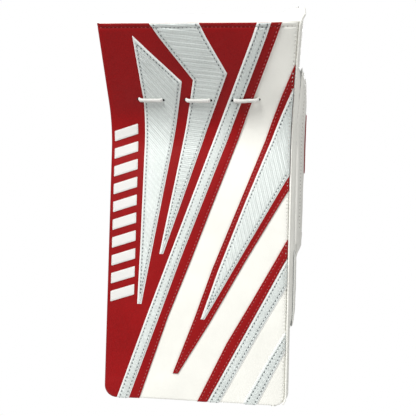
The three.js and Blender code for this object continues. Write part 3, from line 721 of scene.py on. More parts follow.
def face_depth(u, s):
    """Depth of the padded face: rolled back at its outline, pulled in at its seams, and gently lumpy."""
    distance, roll, s = inside_distance(u, s)
    corner = (np.abs(u) > HALF_WIDTH - 12) & (s < 12)
    depth = rolled(distance, roll)
    depth = np.maximum(depth, np.where(corner, 0, rolled(s, ROLL["bottom"])))
    depth = np.maximum(depth, rolled(LENGTH - s, ROLL["top"]))
    depth = depth + 0.75 * bump_at(s, LENGTH - TOP_SEAM, 0.8)
    for fall, width in EDGE_FALLS:
        depth = depth + fall * np.clip(1 - (HALF_WIDTH - u) / width, 0, 1) ** 2
    pucker = 0.5 + 0.5 * np.sin(2 * math.pi * s / PUCKER_PITCH)
    depth = depth + PUCKER_DEPTH * pucker * bump_at(HALF_WIDTH - u, SIDE_SEAM, 1.5) * (s < LENGTH - 6)
    crown = CROWN * (1 - (np.asarray(u) / HALF_WIDTH) ** 2)
    crown = crown * smooth_step(s / 25) * smooth_step((LENGTH - s) / 25)
    return depth - crown - LUMP * waves(u, s, 70, 3) * smooth_step(distance / 12)


EDGE_STEPS = [0.0, 0.08, 0.25, 0.5, 0.85, 1.3, 1.8, 2.3, 2.8, 3.3, 3.8, 4.5, 5.5, 7.0]


def face_rows():
    """Heights up the face for its rows of points, closer at the outline."""
    radius = CORNER_RADIUS["left"]
    corner = [radius * (1 - math.cos(math.radians(a))) for a in range(0, 91, 9)]
    top = [LENGTH - step for step in EDGE_STEPS]
    return spaced(0, LENGTH, PUCKER_PITCH / 4, corner + EDGE_STEPS + top)


def make_face():
    """The padded face skin, rolled over at its outline."""
    rows = face_rows()
    middle = np.linspace(0, 1, 44)
    grid_u = []
    for s in rows:
        left, right = board_edge("left", s), board_edge("right", s)
        steps = np.array(EDGE_STEPS)
        inner = (left + steps[-1]) + (right - left - 2 * steps[-1]) * middle[1:-1]
        grid_u.append(np.concatenate([left + steps, inner, (right - steps)[::-1]]))
    grid_u = np.array(grid_u)
    grid_s = np.repeat(rows[:, None], grid_u.shape[1], 1)
    depth = face_depth(grid_u, grid_s)
    points = board_points(widened(grid_u, depth), grid_s, depth)
    uv = np.stack([grid_u, grid_s], -1)
    quads = grid_quads(*grid_u.shape)
    obj = make_object("face_padding_skin", points.reshape(-1, 3), quads, [WHITE], uv.reshape(-1, 2))
    finish_piece(obj, "root", ["face_skin"])


def strip(name, rings, materials, body="root", replaces=()):
    """A skin through rows of points."""
    rings = np.asarray(rings, float)
    uv = np.stack(np.broadcast_arrays(path_run(rings[0])[None, :], path_run(rings[:, 0])[:, None]), -1)
    quads = grid_quads(*rings.shape[:2])
    obj = make_object(name, rings.reshape(-1, 3), quads, materials, uv.reshape(-1, 2))
    return finish_piece(obj, body, replaces)


def gusset_rings(stations, start_roll):
    """The gusset's skin from the face's rolled edge to the back cover, swelling slightly between seams."""
    rings = []
    for share in (0, 0.04, 0.1, 0.2, 0.35, 0.5, 0.65, 0.8, 0.9, 0.96, 1.0):
        depth = start_roll + (BACK_DEPTH - start_roll) * share - (0.7 if share == 0 else 0)
        swell = GUSSET_SWELL * math.sin(math.pi * share) - 0.35 * math.exp(-((share * 24) ** 2))
        row = np.array([outline_at(stations[k:k + 1], d, swell)[0] for k, d in enumerate(depth)])
        rings.append(row)
    return np.array(rings).transpose(1, 0, 2)


# The bottom gusset runs between two upright seams.
BOTTOM_SEAMS = (-62.0, 82.0)


def make_gussets(stations, stitches):
    """The side and bottom walls, in three pieces sewn together at upright seams."""
    roll = edge_roll(stations)
    u, s = stations[:, 0], stations[:, 1]
    bottom = (s < 1e-6) & (u > BOTTOM_SEAMS[0]) & (u < BOTTOM_SEAMS[1])
    first, last = np.argmax(bottom), len(bottom) - 1 - np.argmax(bottom[::-1])
    parts = {
        "gusset_left": slice(0, first + 1),
        "gusset_bottom": slice(first, last + 1),
        "gusset_right": slice(last, None),
    }
    for name, part in parts.items():
        rings = gusset_rings(stations[part], roll[part])
        strip(f"{name}_skin", rings, [WHITE], replaces=[name])
    # Upright seams where the gussets join, sewn both sides.
    for index in (first, last):
        for shift in (-2.2, 2.2):
            near = stations[index] + np.array([shift, 0, 0, 0])
            path = []
            for depth in np.linspace(4, BACK_DEPTH - 6, 9):
                swell = GUSSET_SWELL * math.sin(math.pi * depth / BACK_DEPTH)
                path.append(outline_at(near[None], depth, swell + 0.05)[0])
            stitches.follow(path, np.tile([0.0, 0.0, -1.0], (len(path), 1)))


def make_top_gusset():
    """The top end wall, gathered towards the corner where the piping turns over it."""
    shares = np.concatenate([[0, 0.03], np.linspace(0.07, 0.93, 24), [0.97, 1.0]])
    depths = ROLL["top"] + (BACK_DEPTH - ROLL["top"]) * shares
    columns = np.linspace(-1, 1, 90)
    rows = []
    for share, depth in zip(shares, depths):
        full = math.sin(math.pi * share)
        over = GUSSET_SWELL * full + 0.15
        left, right = -HALF_WIDTH - flare("left", depth) - over, HALF_WIDTH + flare("right", depth) + over
        u_row = (left + right) / 2 + (right - left) / 2 * columns
        swell = full * (1.1 * (1 - columns**8) + 0.25 * waves(u_row, depth, 50, 5))
        near_corner = smooth_step((u_row - 66) / 24)
        gather = 0.5 * np.sin(2 * math.pi * (depth - 0.16 * (HALF_WIDTH - u_row)) / 4.6)
        swell = swell + near_corner * full * gather + corner_rise(u_row, LENGTH, depth)
        rows.append(board_points(u_row, LENGTH + swell, depth))
    strip("gusset_top_skin", rows, [WHITE], replaces=["gusset_top"])


# The binding tape's profile, from inside the gusset round the edge and over the back cover:
# (distance behind the cover's front, distance out from the outline).
BINDING_WALL = [(-5.5, 0.25), (-5.2, 0.75), (-3, 1.0), (-1.2, 1.0), (-0.3, 0.75), (0.25, 0.2)]
BINDING_INWARD = [-0.9, -3, -5.4, -5.8]
BINDING_LIFT = 0.45


def make_back(stations, stitches):
    """The woven back cover and the tape that binds its edge."""
    rows = spaced(0, LENGTH, 6.0, [1, 2.5, 4.5, 7, 9, 12])
    grid = []
    for s in rows:
        left, right = board_edge("left", s, BACK_DEPTH), board_edge("right", s, BACK_DEPTH)
        share = np.linspace(0, 1, 50)
        u = left + (right - left) * share
        sag = 0.5 * waves(u, s, 46, 9) * smooth_step((u - left) / 14) * smooth_step((right - u) / 14)
        grid.append(board_points(u, s + corner_rise(u, s, BACK_DEPTH), BACK_DEPTH + 0.1 + 0.25 * sag))
    strip("back_cover_cloth", grid, [GREY_CLOTH], replaces=["back_cover"])

    closing = [(u, LENGTH, 0.0, 1.0) for u in np.linspace(HALF_WIDTH, -HALF_WIDTH, 50)[1:-1]]
    loop = np.concatenate([stations, closing])
    profile = BINDING_WALL + [(BINDING_LIFT, inward) for inward in BINDING_INWARD]
    rings = np.array([outline_at(loop, BACK_DEPTH + back, outward) for back, outward in profile])
    rings = rings.transpose(1, 0, 2)
    rings = np.concatenate([rings, rings[:1]])
    strip("back_binding_tape", rings, [WHITE])
    around = np.concatenate([loop, loop[:1]])
    stitches.follow(outline_at(around, BACK_DEPTH + 0.75, -3.4), depth_direction(around[:, 1]))


CORE_END_INSET = 5.2
CORE_SIDE_INSET = 4.6
CORE_FRONT, CORE_REAR = 2.6, 12.9


def make_core():
    """The foam behind the face: a smooth block that fits inside the rolled skin."""
    columns = np.linspace(-1, 1, 30)
    grid = []
    for s in spaced(CORE_END_INSET, LENGTH - CORE_END_INSET, 9.0):
        left, right = (board_edge(side, s, 6, CORE_SIDE_INSET) for side in ("left", "right"))
        front = left + (right - left) * (columns + 1) / 2
        ring = [board_points(u, s, CORE_FRONT + 3.5 * abs(c) ** 12) for u, c in zip(front, columns)]
        ring += [board_points(u, s, CORE_REAR) for u in front[::-1]]
        grid.append(ring)
    grid = np.array(grid)
    obj = make_object("face_foam", grid.reshape(-1, 3), capped_quads(*grid.shape[:2]), [FOAM])
    finish_piece(obj, "root", ["core_front"])


# ------------------------------------------------------------------ piping

PIPING_RADIUS = 1.0
PIPING_OFFSET = 1.9
PIPING_DEPTH = 1.7


def make_piping():
    """Leather-covered cord in the right-hand seam, round the bottom corner and back along the top end."""
    path = []
    radius = CORNER_RADIUS["right"]
    reach = radius + PIPING_OFFSET
    for angle in range(-42, 0, 6):
        a = math.radians(angle)
        path.append((HALF_WIDTH - radius + reach * math.cos(a), radius + reach * math.sin(a), PIPING_DEPTH))
    for s in spaced(radius, LENGTH - 3, 5.0):
        path.append((HALF_WIDTH + PIPING_OFFSET, s, PIPING_DEPTH))
    for depth in (3, 6, 10, 14, 20, 27):
        side = HALF_WIDTH + PIPING_OFFSET - 0.8 + flare("right", depth)
        path.append((side, LENGTH + 0.5 + CORNER_RISE * depth, depth))
    step = 0.9
    path = rounded_path(board_points(*np.array(path).T), step, 8)
    run = np.arange(len(path)) * step
    gathers = 1 + 0.11 * np.sin(2 * math.pi * run / PUCKER_PITCH)
    # Past the face the cord is covered by a wider fold of the gusset leather.
    fold = 1 + 0.55 * smooth_step((run - run[-1] + 34) / 12)
    ends = np.clip((run[-1] - run) / 1.6, 0.25, 1) ** 0.5
    tube = tube_object("piping_cord", path, PIPING_RADIUS, PIPING_RADIUS, [WHITE], 12, up=(1, 0, 0),
                       scale=gathers * fold * ends)
    finish_piece(tube, "root", ["piping_right"])


# ------------------------------------------------------------------ colour panels

# How far a panel stops short of the board's edge.
CLIP = 0.3
# The embossed ribs of each silver panel that has them. Handling has pressed them flatter low on the face.
BLADE_LONG_RIBS = {"pitch": 4.5, "angle": 50.0, "worn_below": 245.0}
BLADE_BENT_RIBS = {"pitch": 4.75, "angle": 6.5, "worn_below": 265.0}
WEDGE_RIBS = {"pitch": 4.4, "angle": 76.0, "worn_below": 0.0}
RIB_HEIGHT = 0.26
RIB_WEAR = 0.65
RIB_WEAR_RUN = 35.0

# Each panel's side edges as (s, u), and its lowest and highest s.
LOW_STRIPE_SPLIT = [[0, 14.6], [54, 42.5], [103.5, 68.4], [150, 92.4]]
PANELS = {
    "red_field": {
        "left": [[0, -95], [381, -95]],
        "right": [[0, -55], [85, -27.3], [144, -5], [194, 13], [268, 40], [310, 54], [381, 77.6]],
        "low": 0, "high": 381,
    },
    "red_wedge": {
        "left": [[28, -21], [84, -0.6], [135, 16.5], [268, 67.4], [316, 82.5], [350, 93.8]],
        "right": [[28, -15.4], [81, 15.8], [146, 51.2], [218, 92.2], [350, 167]],
        "low": 28, "high": 344,
    },
    "red_stripe_lower": {
        "left": [[0, 4.6], [61, 33.3], [107.5, 59.3], [147, 80.8], [171, 93.4]],
        "right": LOW_STRIPE_SPLIT, "low": 0, "high": 169,
    },
    "silver_stripe_lower": {
        "left": LOW_STRIPE_SPLIT, "right": [[0, 27.7], [78, 69.2], [120, 92.8]], "low": 0, "high": 148,
    },
    "silver_stripe_corner": {
        "left": [[0, 50.5], [47, 75.3], [77, 92.6]], "right": [[0, 65.4], [55, 92.6]], "low": 0, "high": 75.5,
    },
    "silver_blade_long": {
        "left": [[97, -59.8], [166, -58], [249, -56.7], [308, -55.4], [371, -59.8]],
        "right": [[97, -55], [328, -15.4], [371, -58.9]],
        "low": 97, "high": 371, "ribs": BLADE_LONG_RIBS,
    },
    "silver_blade_bent": {
        "left": [[149, -38.2], [278, -14.2], [329.5, -4.8], [381, -43.2]],
        "right": [[149, -33.8], [278, 8.3], [336, 28.6], [381, 3]],
        "low": 149, "high": 381, "ribs": BLADE_BENT_RIBS,
    },
    "silver_stripe_main": {
        "left": [[0, -78.5], [88, -48.7], [144, -29], [268, 14.8], [381, 55]],
        "right": [[0, -65.6], [88, -35.1], [144, -16], [268, 29.4], [381, 68.2]],
        "low": 0, "high": 381,
    },
    "silver_wedge": {
        "left": [[84, 6], [135, 22.9], [203, 47.9], [268, 73.2], [325, 92.8]],
        "right": [[84, 10.4], [136, 38.9], [231, 91.4], [325, 143]],
        "low": 84, "high": 322, "ribs": WEDGE_RIBS,
    },
}


def moved_edge(edge, distance):
    """A panel edge moved sideways by a perpendicular distance, corners kept sharp."""
    edge = np.array(edge, float)
    slopes = np.diff(edge[:, 1]) / np.diff(edge[:, 0])
    shifts = distance * np.sqrt(1 + slopes**2)
    moved = [[edge[0, 0], edge[0, 1] + shifts[0]]]
    for k in range(1, len(edge) - 1):
        s, u = edge[k]
        turn = slopes[k - 1] - slopes[k]
        slide = (shifts[k] - shifts[k - 1]) / turn if abs(turn) > 0.02 else 0.0
        slide = float(np.clip(slide, -6, 6))
        moved.append([s + slide, u + shifts[k - 1] + slopes[k - 1] * slide])
    moved.append([edge[-1, 0], edge[-1, 1] + shifts[-1]])
    return np.array(moved)


def run_on(edge):
    """A panel edge that leaves the face at its right side, carried straight on past it."""
    (s_a, u_a), (s_b, u_b) = edge[-2:]
    if u_b < HALF_WIDTH:
        return edge
    return edge + [[s_b + 60, u_b + 60 * (u_b - u_a) / (s_b - s_a)]]


def panel_span(panel, inset):
    """The panel's two edges and its range up the face, after moving every free edge in by a distance."""
    left, right = moved_edge(run_on(panel["left"]), inset), moved_edge(run_on(panel["right"]), -inset)
    low = panel["low"] + (inset if panel["low"] > 0 else 0)
    high = panel["high"] - (inset if panel["high"] < LENGTH else 0)

    def bounds(s):
        u_left = np.maximum(np.interp(s, left[:, 0], left[:, 1]), board_edge("left", s) + CLIP)
        u_right = np.minimum(np.interp(s, right[:, 0], right[:, 1]), board_edge("right", s) - CLIP)
        return u_left, u_right
    probe = np.linspace(low, high, 1600)
    u_left, u_right = bounds(probe)
    inside = probe[(u_right - u_left) > 0.2]
    corners = [s for s in list(left[:, 0]) + list(right[:, 0]) if inside[0] < s < inside[-1]]
    return bounds, inside[0], inside[-1], corners


# Distances in from a panel's edge at which it has a column of points.
PANEL_EDGE = np.array([0.0, 0.12, 0.3, 0.55, 0.9, 1.3, 1.7, 2.1, 2.5, 3.0])
# Distances from the top fold's seam at which it has a row.
FOLD_STEPS = (-1.6, -0.9, -0.4, 0, 0.4, 0.9, 1.6)
# A panel's edge starts a little inside the layer below, and is rounded; its seam is drawn in.
PANEL_SINK = 0.35
PANEL_ROUNDING = 0.6
SEAM_DIP = 0.38
FAR = 50.0
# The silver panels that lie over a red one.
SILVER_ON_RED = ("silver_blade_long", "silver_blade_bent", "silver_stripe_main", "silver_wedge")
BORDER_SEAM = 0.9


def edge_slope(bounds, s, which):
    """Turns a distance across the board into one square to a panel's left or right edge."""
    step = 0.8
    ahead, behind = bounds(s + step)[which], bounds(s - step)[which]
    return 1 / np.sqrt(1 + ((ahead - behind) / (2 * step)) ** 2)


def rib_height(u, s, ribs):
    """Embossed ribs: soft ridges running down to the right at an angle."""
    angle = math.radians(ribs["angle"])
    run = u * math.sin(angle) + s * math.cos(angle)
    ridge = 0.5 + 0.5 * np.cos(2 * math.pi * run / ribs["pitch"])
    wear = RIB_WEAR * smooth_step((ribs["worn_below"] + RIB_WEAR_RUN - s) / RIB_WEAR_RUN)
    return RIB_HEIGHT * (1 - wear) * ridge**0.7


def panel_grid(bounds, rows, column_step):
    """u at each point of a panel's rows, closer together near its side edges."""
    u_left, u_right = (edge[:, None] for edge in bounds(rows))
    width = u_right - u_left
    count = int(np.clip(np.max(width) / column_step, 4, 90))
    near = PANEL_EDGE[None, :] * np.minimum(1, width * 0.48 / PANEL_EDGE[-1])
    inner_left, inner_right = u_left + near[:, -1:], u_right - near[:, -1:]
    middle = inner_left + (inner_right - inner_left) * np.linspace(0, 1, count)[None, 1:-1]
    return np.concatenate([u_left + near, middle, (u_right - near)[:, ::-1]], 1)


def edge_distances(bounds, rows, u):
    """Distances in from a panel's left and right edges; an edge on the board's own side is far away."""
    u_left, u_right = bounds(rows)
    left = (u - u_left[:, None]) * edge_slope(bounds, rows, 0)[:, None]
    right = (u_right[:, None] - u) * edge_slope(bounds, rows, 1)[:, None]
    at_left = u_left <= board_edge("left", rows) + CLIP + 0.01
    at_right = u_right >= board_edge("right", rows) - CLIP - 0.01
    return np.where(at_left[:, None], FAR, left), np.where(at_right[:, None], FAR, right)


def make_panel(name, panel, inset, base_lift, lift, seam, material, ribs=None, column_step=3.2, row_step=2.5,
               pucker=0.0):
    """A sewn panel: a skin with a rounded edge, a dip along its stitching and an optional embossed middle."""
    bounds, low, high, corners = panel_span(panel, inset)
    ends = [low + d for d in PANEL_EDGE] + [high - d for d in PANEL_EDGE]
    fold = [LENGTH - TOP_SEAM + d for d in FOLD_STEPS]
    rows = spaced(low, high, row_step, corners + ends + fold)
    u = panel_grid(bounds, rows, column_step)
    s = np.repeat(rows[:, None], u.shape[1], 1)
    distance_left, distance_right = edge_distances(bounds, rows, u)
    distance = np.minimum(distance_left, distance_right)
    if panel["low"] > 0:
        distance = np.minimum(distance, s - low)
    if panel["high"] < LENGTH:
        distance = np.minimum(distance, high - s)
    foot = base_lift - PANEL_SINK
    height = foot + (lift - base_lift + PANEL_SINK) * round_over(distance, PANEL_ROUNDING)
    height = height - SEAM_DIP * bump_at(distance, seam, 0.5) + 0.12 * smooth_step((distance - seam) / 5)
    if ribs:
        height = height + rib_height(u, s, ribs) * smooth_step((distance - seam - 0.5) / 1.2)
    if pucker:
        slant = np.where(distance_left < distance_right, 1, -1)
        gather = np.sin(2 * math.pi * s / STITCH_PITCH + 1.4 * slant * np.maximum(distance - seam, 0))
        height = height + pucker * gather * bump_at(distance, seam + 0.6, 1.7)
    under = face_depth(u, s)
    points = board_points(widened(u, under), s, under - height)
    # The surface coordinates run square to the ribs, one rib to each of the material's.
    angle = math.radians(ribs["angle"]) if ribs else 0.6
    stretch = RIB_UV_PITCH / ribs["pitch"] if ribs else 1.0
    uv = np.stack([u * math.cos(angle) - s * math.sin(angle),
                   (u * math.sin(angle) + s * math.cos(angle)) * stretch], -1)
    return make_object(name, points.reshape(-1, 3), grid_quads(*u.shape), [material], uv.reshape(-1, 2))


def seam_paths(panel, inset):
    """The stitching lines at a distance inside a panel's free edges, as (s, u) polylines."""
    bounds, low, high, corners = panel_span(panel, inset)
    s = spaced(low, high, 1.5, corners)
    u_left, u_right = bounds(s)
    left = [[a, b] for a, b in zip(s, u_left) if b > board_edge("left", a) + CLIP + 0.05]
    right = [[a, b] for a, b in zip(s, u_right) if b < board_edge("right", a) - CLIP - 0.05]
    whole_top = left and right and left[-1][0] > high - 2 and right[-1][0] > high - 2
    whole_bottom = left and right and left[0][0] < low + 2 and right[0][0] < low + 2
    if panel["high"] < LENGTH and whole_top:
        return [left + right[::-1]]
    if panel["low"] > 0 and whole_bottom:
        return [left[::-1] + right]
    return [path for path in (left, right) if len(path) > 1]


def make_panels(grey, red):
    """The face's colour panels: red ones of one layer, silver ones over a white border."""
    for name, panel in PANELS.items():
        if name.startswith("silver"):
            base = PANEL_LIFT if name in SILVER_ON_RED else 0.0
            border = make_panel(f"{name}_border", panel, 0.0, 0.0, base + BORDER_LIFT, BORDER_SEAM, BORDER)
            finish_piece(border, "root", [name])
            ribs = panel.get("ribs")
            material, steps, pucker = (SILVER, (0.9, 0.9), 0.2)
            if ribs:
                material, steps, pucker = (SILVER_RIBBED, (0.75, 0.85), 0.12)
            top = make_panel(f"{name}_leather", panel, BORDER_WIDTH, base + SILVER_FOOT, base + SILVER_LIFT,
                             SILVER_SEAM, material, ribs, *steps, pucker=pucker)
            finish_piece(top, "root", [name])
            lift, seam, stitches = base + SILVER_LIFT, BORDER_WIDTH + SILVER_SEAM, grey
        else:
            skin = make_panel(f"{name}_leather", panel, 0.0, 0.0, PANEL_LIFT, RED_SEAM, RED)
            finish_piece(skin, "root", [name])
            lift, seam, stitches = PANEL_LIFT, RED_SEAM, red
        for path in seam_paths(panel, seam):
            points, outward = face_path(path, lift - 0.1)
            if len(points) > 3:
                stitches.follow(points, outward)


def make_seam_lines(grey, red, white):
    """Stitching along the top fold, in each panel's own thread, and beside the piping."""
    s = LENGTH - TOP_SEAM
    crossing = [(-90.0, 90.0, 0.0, white)]
    for name, panel in PANELS.items():
        if panel["high"] >= LENGTH:
            u_left, u_right = panel_span(panel, 0.0)[0](np.array([s]))
            silver = name.startswith("silver")
            lift = PANEL_LIFT + SILVER_LIFT if silver else PANEL_LIFT
            crossing.append((float(u_left[0]), float(u_right[0]), lift, grey if silver else red))
    for u in np.arange(-88, 88, STITCH_PITCH):
        over = [c for c in crossing if c[0] + 0.5 < u < c[1] - 0.5]
        _, _, lift, thread = over[-1]
        place = board_points(u, s, face_depth(u, s) - lift - 0.05)
        thread.add(place, np.array([1.0, 0, 0]), -depth_direction(np.array([s]))[0])
    u = HALF_WIDTH - SIDE_SEAM
    knots = spaced(12.0, LENGTH - 6, STITCH_PITCH)
    for s in (knots[:-1] + knots[1:]) / 2:
        ends = np.array([s - 1, s + 1])
        points = board_points(np.full(2, u), ends, face_depth(u, ends) - front_lift(u, s))
        white.add(points.mean(0), points[1] - points[0], -depth_direction(np.array([s]))[0])


# ------------------------------------------------------------------ satin bars

BAR_FIRST, BAR_LAST, BAR_COUNT = 108.0, 274.0, 10
BAR_LEFT, BAR_RIGHT = -87.5, -63.5
BAR_HEIGHT = 10.0
BAR_SLANT = 8.0
BAR_THICKNESS = 0.75


def make_bars(edge_stitches):
    """A row of plain slanted satin-stitch bars."""
    across = np.concatenate([[0, 0.02, 0.05, 0.1], np.linspace(0.15, 0.85, 22), [0.9, 0.95, 0.98, 1]])
    up = np.concatenate([[0, 0.04, 0.1, 0.2], np.linspace(0.3, 0.7, 7), [0.8, 0.9, 0.96, 1]])
    faces, points, uv = [], [], []
    a, b = np.meshgrid(across, up)
    for k in range(BAR_COUNT):
        centre = BAR_FIRST + (BAR_LAST - BAR_FIRST) * k / (BAR_COUNT - 1)
        u = BAR_LEFT + (BAR_RIGHT - BAR_LEFT) * a
        s = centre + BAR_HEIGHT * (b - 0.5) + BAR_SLANT * (a - 0.5)
        near = np.minimum(np.minimum(a, 1 - a) * (BAR_RIGHT - BAR_LEFT), np.minimum(b, 1 - b) * BAR_HEIGHT)
        height = PANEL_LIFT + 0.05 + BAR_THICKNESS * round_over(near, 0.9)
        points.append(board_points(u, s, face_depth(u, s) - height).reshape(-1, 3))
        faces.extend((grid_quads(*a.shape) + k * a.size).tolist())
        uv.append(np.stack([u, s], -1).reshape(-1, 2))
        corners = [[s[i, j], u[i, j]] for i, j in ((0, 0), (0, -1), (-1, -1), (-1, 0), (0, 0))]
        for start, end in zip(corners[:-1], corners[1:]):
            path, outward = face_path([start, end], PANEL_LIFT + 0.3)
            edge_stitches.follow(path, outward, 1.1)
    obj = make_object("satin_bars", np.concatenate(points), faces, [SATIN_BARS], np.concatenate(uv))
    finish_piece(obj, "root", ())


# ------------------------------------------------------------------ laces

LACE_HEIGHT = 309.5
LACE_SPAN = 25.0
LACE_CENTRES = {"left": -47.8, "middle": -0.5, "right": 46.8}
LACE_REAR = 31.2
LACE_HALF_WIDTH, LACE_HALF_THICKNESS = 1.95, 1.25
# The knot's turns round the lace's two ends, and the path of each tail: (u, s, depth) from its middle.
KNOT_TURNS = 3
KNOT_LENGTH = 4.2
TAIL = [(1.5, 0, 2.0), (4.5, -2.5, 2.8), (7.5, -8, 2.6), (9, -15, 2.0)]
# A punched hole's mouth, drawn as a near-black disc of painted shade: (radius, height above the leather) of
# each ring.
HOLE_SHADE_RINGS = [(0.0, 0.16), (0.5, 0.18), (0.85, 0.2), (1.05, 0.16), (1.2, -0.1)]


def front_lift(u, s):
    """How far the sewn layers stand above the face padding at a point."""
    lift = 0.0
    for name, panel in PANELS.items():
        bounds, low, high, _ = panel_span(panel, 0.6)
        if not low < s < high:
            continue
        u_left, u_right = bounds(np.array([s]))
        if u_left[0] < u < u_right[0]:
            lift = max(lift, PANEL_LIFT + SILVER_LIFT + 0.3 if name.startswith("silver") else PANEL_LIFT)
    return lift


def lace_path(centre):
    """Up one hole, across the front of the face, down the other hole, with both ends behind the board."""
    half = LACE_SPAN / 2
    front = []
    for x in np.linspace(-half + 1.5, half - 1.5, 12):
        layers = max(front_lift(centre + x + d, LACE_HEIGHT) for d in (-3, 0, 3))
        front.append((x, float(face_depth(centre + x, LACE_HEIGHT)) - layers - 1.0))
    peak = min(depth for _, depth in front)
    front = [(x, 0.6 * depth + 0.4 * peak - 0.5 * (1 - (x / half) ** 2)) for x, depth in front]
    right = [(half, depth) for depth in (1.5, 8, 16, 24)]
    right += [(half - 0.6, LACE_REAR - 0.8), (half - 2.4, LACE_REAR), (4, LACE_REAR + 0.4)]
    left = [(-x, depth) for x, depth in right[::-1]]
    x, depth = np.array(left + front + right).T
    return rounded_path(board_points(centre + x, LACE_HEIGHT, depth), 0.7, 5)


def make_lace(side, centre):
    """A flat lace threaded through two punched holes and knotted behind the board."""
    lace_up = depth_direction(np.array([LACE_HEIGHT]))[0]
    cord = tube_object(f"lace_{side}_cord", lace_path(centre), LACE_HALF_WIDTH, LACE_HALF_THICKNESS,
                       [LACE], 14, up=-lace_up)
    finish_piece(cord, "root", [f"lace_{side}"])
    share = np.linspace(0, 1, 60)
    a = share * KNOT_TURNS * 2 * math.pi
    turns = board_points(
        centre + 2.4 * np.cos(a) + (share - 0.5) * KNOT_LENGTH,
        LACE_HEIGHT + 2.2 * np.sin(a),
        LACE_REAR + 1.5 + 1.5 * np.cos(a + 1.2),
    )
    knot = tube_object(f"lace_{side}_knot", turns, 1.35, 1.1, [LACE], 10, up=lace_up)
    finish_piece(knot, "root", ())
    across, up, back = np.array(TAIL).T
    for sign, end in ((-1, "a"), (1, "b")):
        tail = rounded_path(board_points(centre + sign * across, LACE_HEIGHT + up, LACE_REAR + back), 0.8, 4)
        piece = tube_object(f"lace_{side}_tail_{end}", tail, 1.6, 0.8, [LACE], 12, up=lace_up)
        finish_piece(piece, "root", ())
    # The mouths of the two punched holes: near-black discs of painted shade where each hole's inside would be
    # dark.
    angles = np.linspace(0, 2 * math.pi, 21)
    for sign, end in ((-1, "a"), (1, "b")):
        u = centre + sign * (LACE_SPAN / 2 + 0.45)
        depth = float(face_depth(u, LACE_HEIGHT)) - front_lift(u, LACE_HEIGHT) - 0.1
        rings = []
        for radius, rise in HOLE_SHADE_RINGS:
            across, up = radius * 1.15 * np.cos(angles), radius * np.sin(angles)
            rings.append(board_points(u + across, LACE_HEIGHT + up, depth - rise))
        strip(f"lace_{side}_hole_{end}", rings, [HOLE_SHADE])


# ------------------------------------------------------------------ stuffed shapes

def along(table, value):
    """A table's value at a place along it, with straight runs between its entries."""
    table = np.array(table, float)
    return np.interp(value, table[:, 0], table[:, 1])


def closed_loft(name, rings, materials):
    """A closed body through rings of points, with both ends capped to their middles."""
    rings = np.asarray(rings, float)
    rows, sides = rings.shape[:2]
    points = rings.reshape(-1, 3)
    faces = [list(f) for f in grid_quads(rows, sides, wrap=True)]
    first, last = len(points), len(points) + 1
    points = np.concatenate([points, rings[0].mean(0)[None], rings[-1].mean(0)[None]])
    for j in range(sides):
        k = (j + 1) % sides
        faces.append([first, k, j])
        faces.append([last, (rows - 1) * sides + j, (rows - 1) * sides + k])
    return make_object(name, points, faces, materials)


CLOTH_FRAMES = 20


def inflate(obj, pressure, cap):
    """Swells a pad as cloth under pressure, and keeps each point's shift within a cap."""
    start = vertex_array(obj)
    cloth = add_modifier(obj, "CLOTH")
    cloth.settings.use_pressure = True
    cloth.settings.uniform_pressure_force = pressure
    cloth.settings.effector_weights.gravity = 0
    cloth.settings.tension_stiffness = 20
    cloth.settings.compression_stiffness = 12
    cloth.settings.bending_stiffness = 0.6
    cloth.collision_settings.use_collision = False
    cloth.point_cache.frame_end = CLOTH_FRAMES
    scene = bpy.context.scene
    for frame_number in range(1, CLOTH_FRAMES + 1):
        scene.frame_set(frame_number)
    apply_modifiers(obj)
    scene.frame_set(1)
    shift = vertex_array(obj) - start
    length = np.linalg.norm(shift, axis=1)
    factor = cap * np.tanh(length / cap) / np.maximum(length, 1e-6)
    set_vertices(obj, start + shift * factor[:, None])


def stuffed(obj, voxel, pressure, cap):
    """Remeshes a pad, inflates it and smooths the result."""
    bpy.context.view_layer.update()
    add_modifier(obj, "REMESH", mode="VOXEL", voxel_size=voxel * MM, use_smooth_shade=True)
    apply_modifiers(obj)
    inflate(obj, pressure, cap)
    add_modifier(obj, "SMOOTH", factor=0.5, iterations=3)
    add_modifier(obj, "SUBSURF", levels=1, render_levels=1)
    apply_modifiers(obj)
    obj.data.polygons.foreach_set("use_smooth", np.ones(len(obj.data.polygons), bool))
    return obj


def vertex_array(obj):
    """An object's vertices in millimetres, in the CAD source's layout."""
    points = np.zeros(len(obj.data.vertices) * 3)
    obj.data.vertices.foreach_get("co", points)
    return points.reshape(-1, 3) / MM + GRIP_CENTRE


def set_vertices(obj, points):
    """Moves an object's vertices to points in millimetres."""
    obj.data.vertices.foreach_set("co", placed(points).astype(np.float32).ravel())
    obj.data.update()


def normals_of(elements):
    """The normals of a mesh's vertices or faces."""
    normals = np.zeros(len(elements) * 3, np.float32)
    elements.foreach_get("normal", normals)
    return normals.reshape(-1, 3).astype(float)


# ------------------------------------------------------------------ side guards

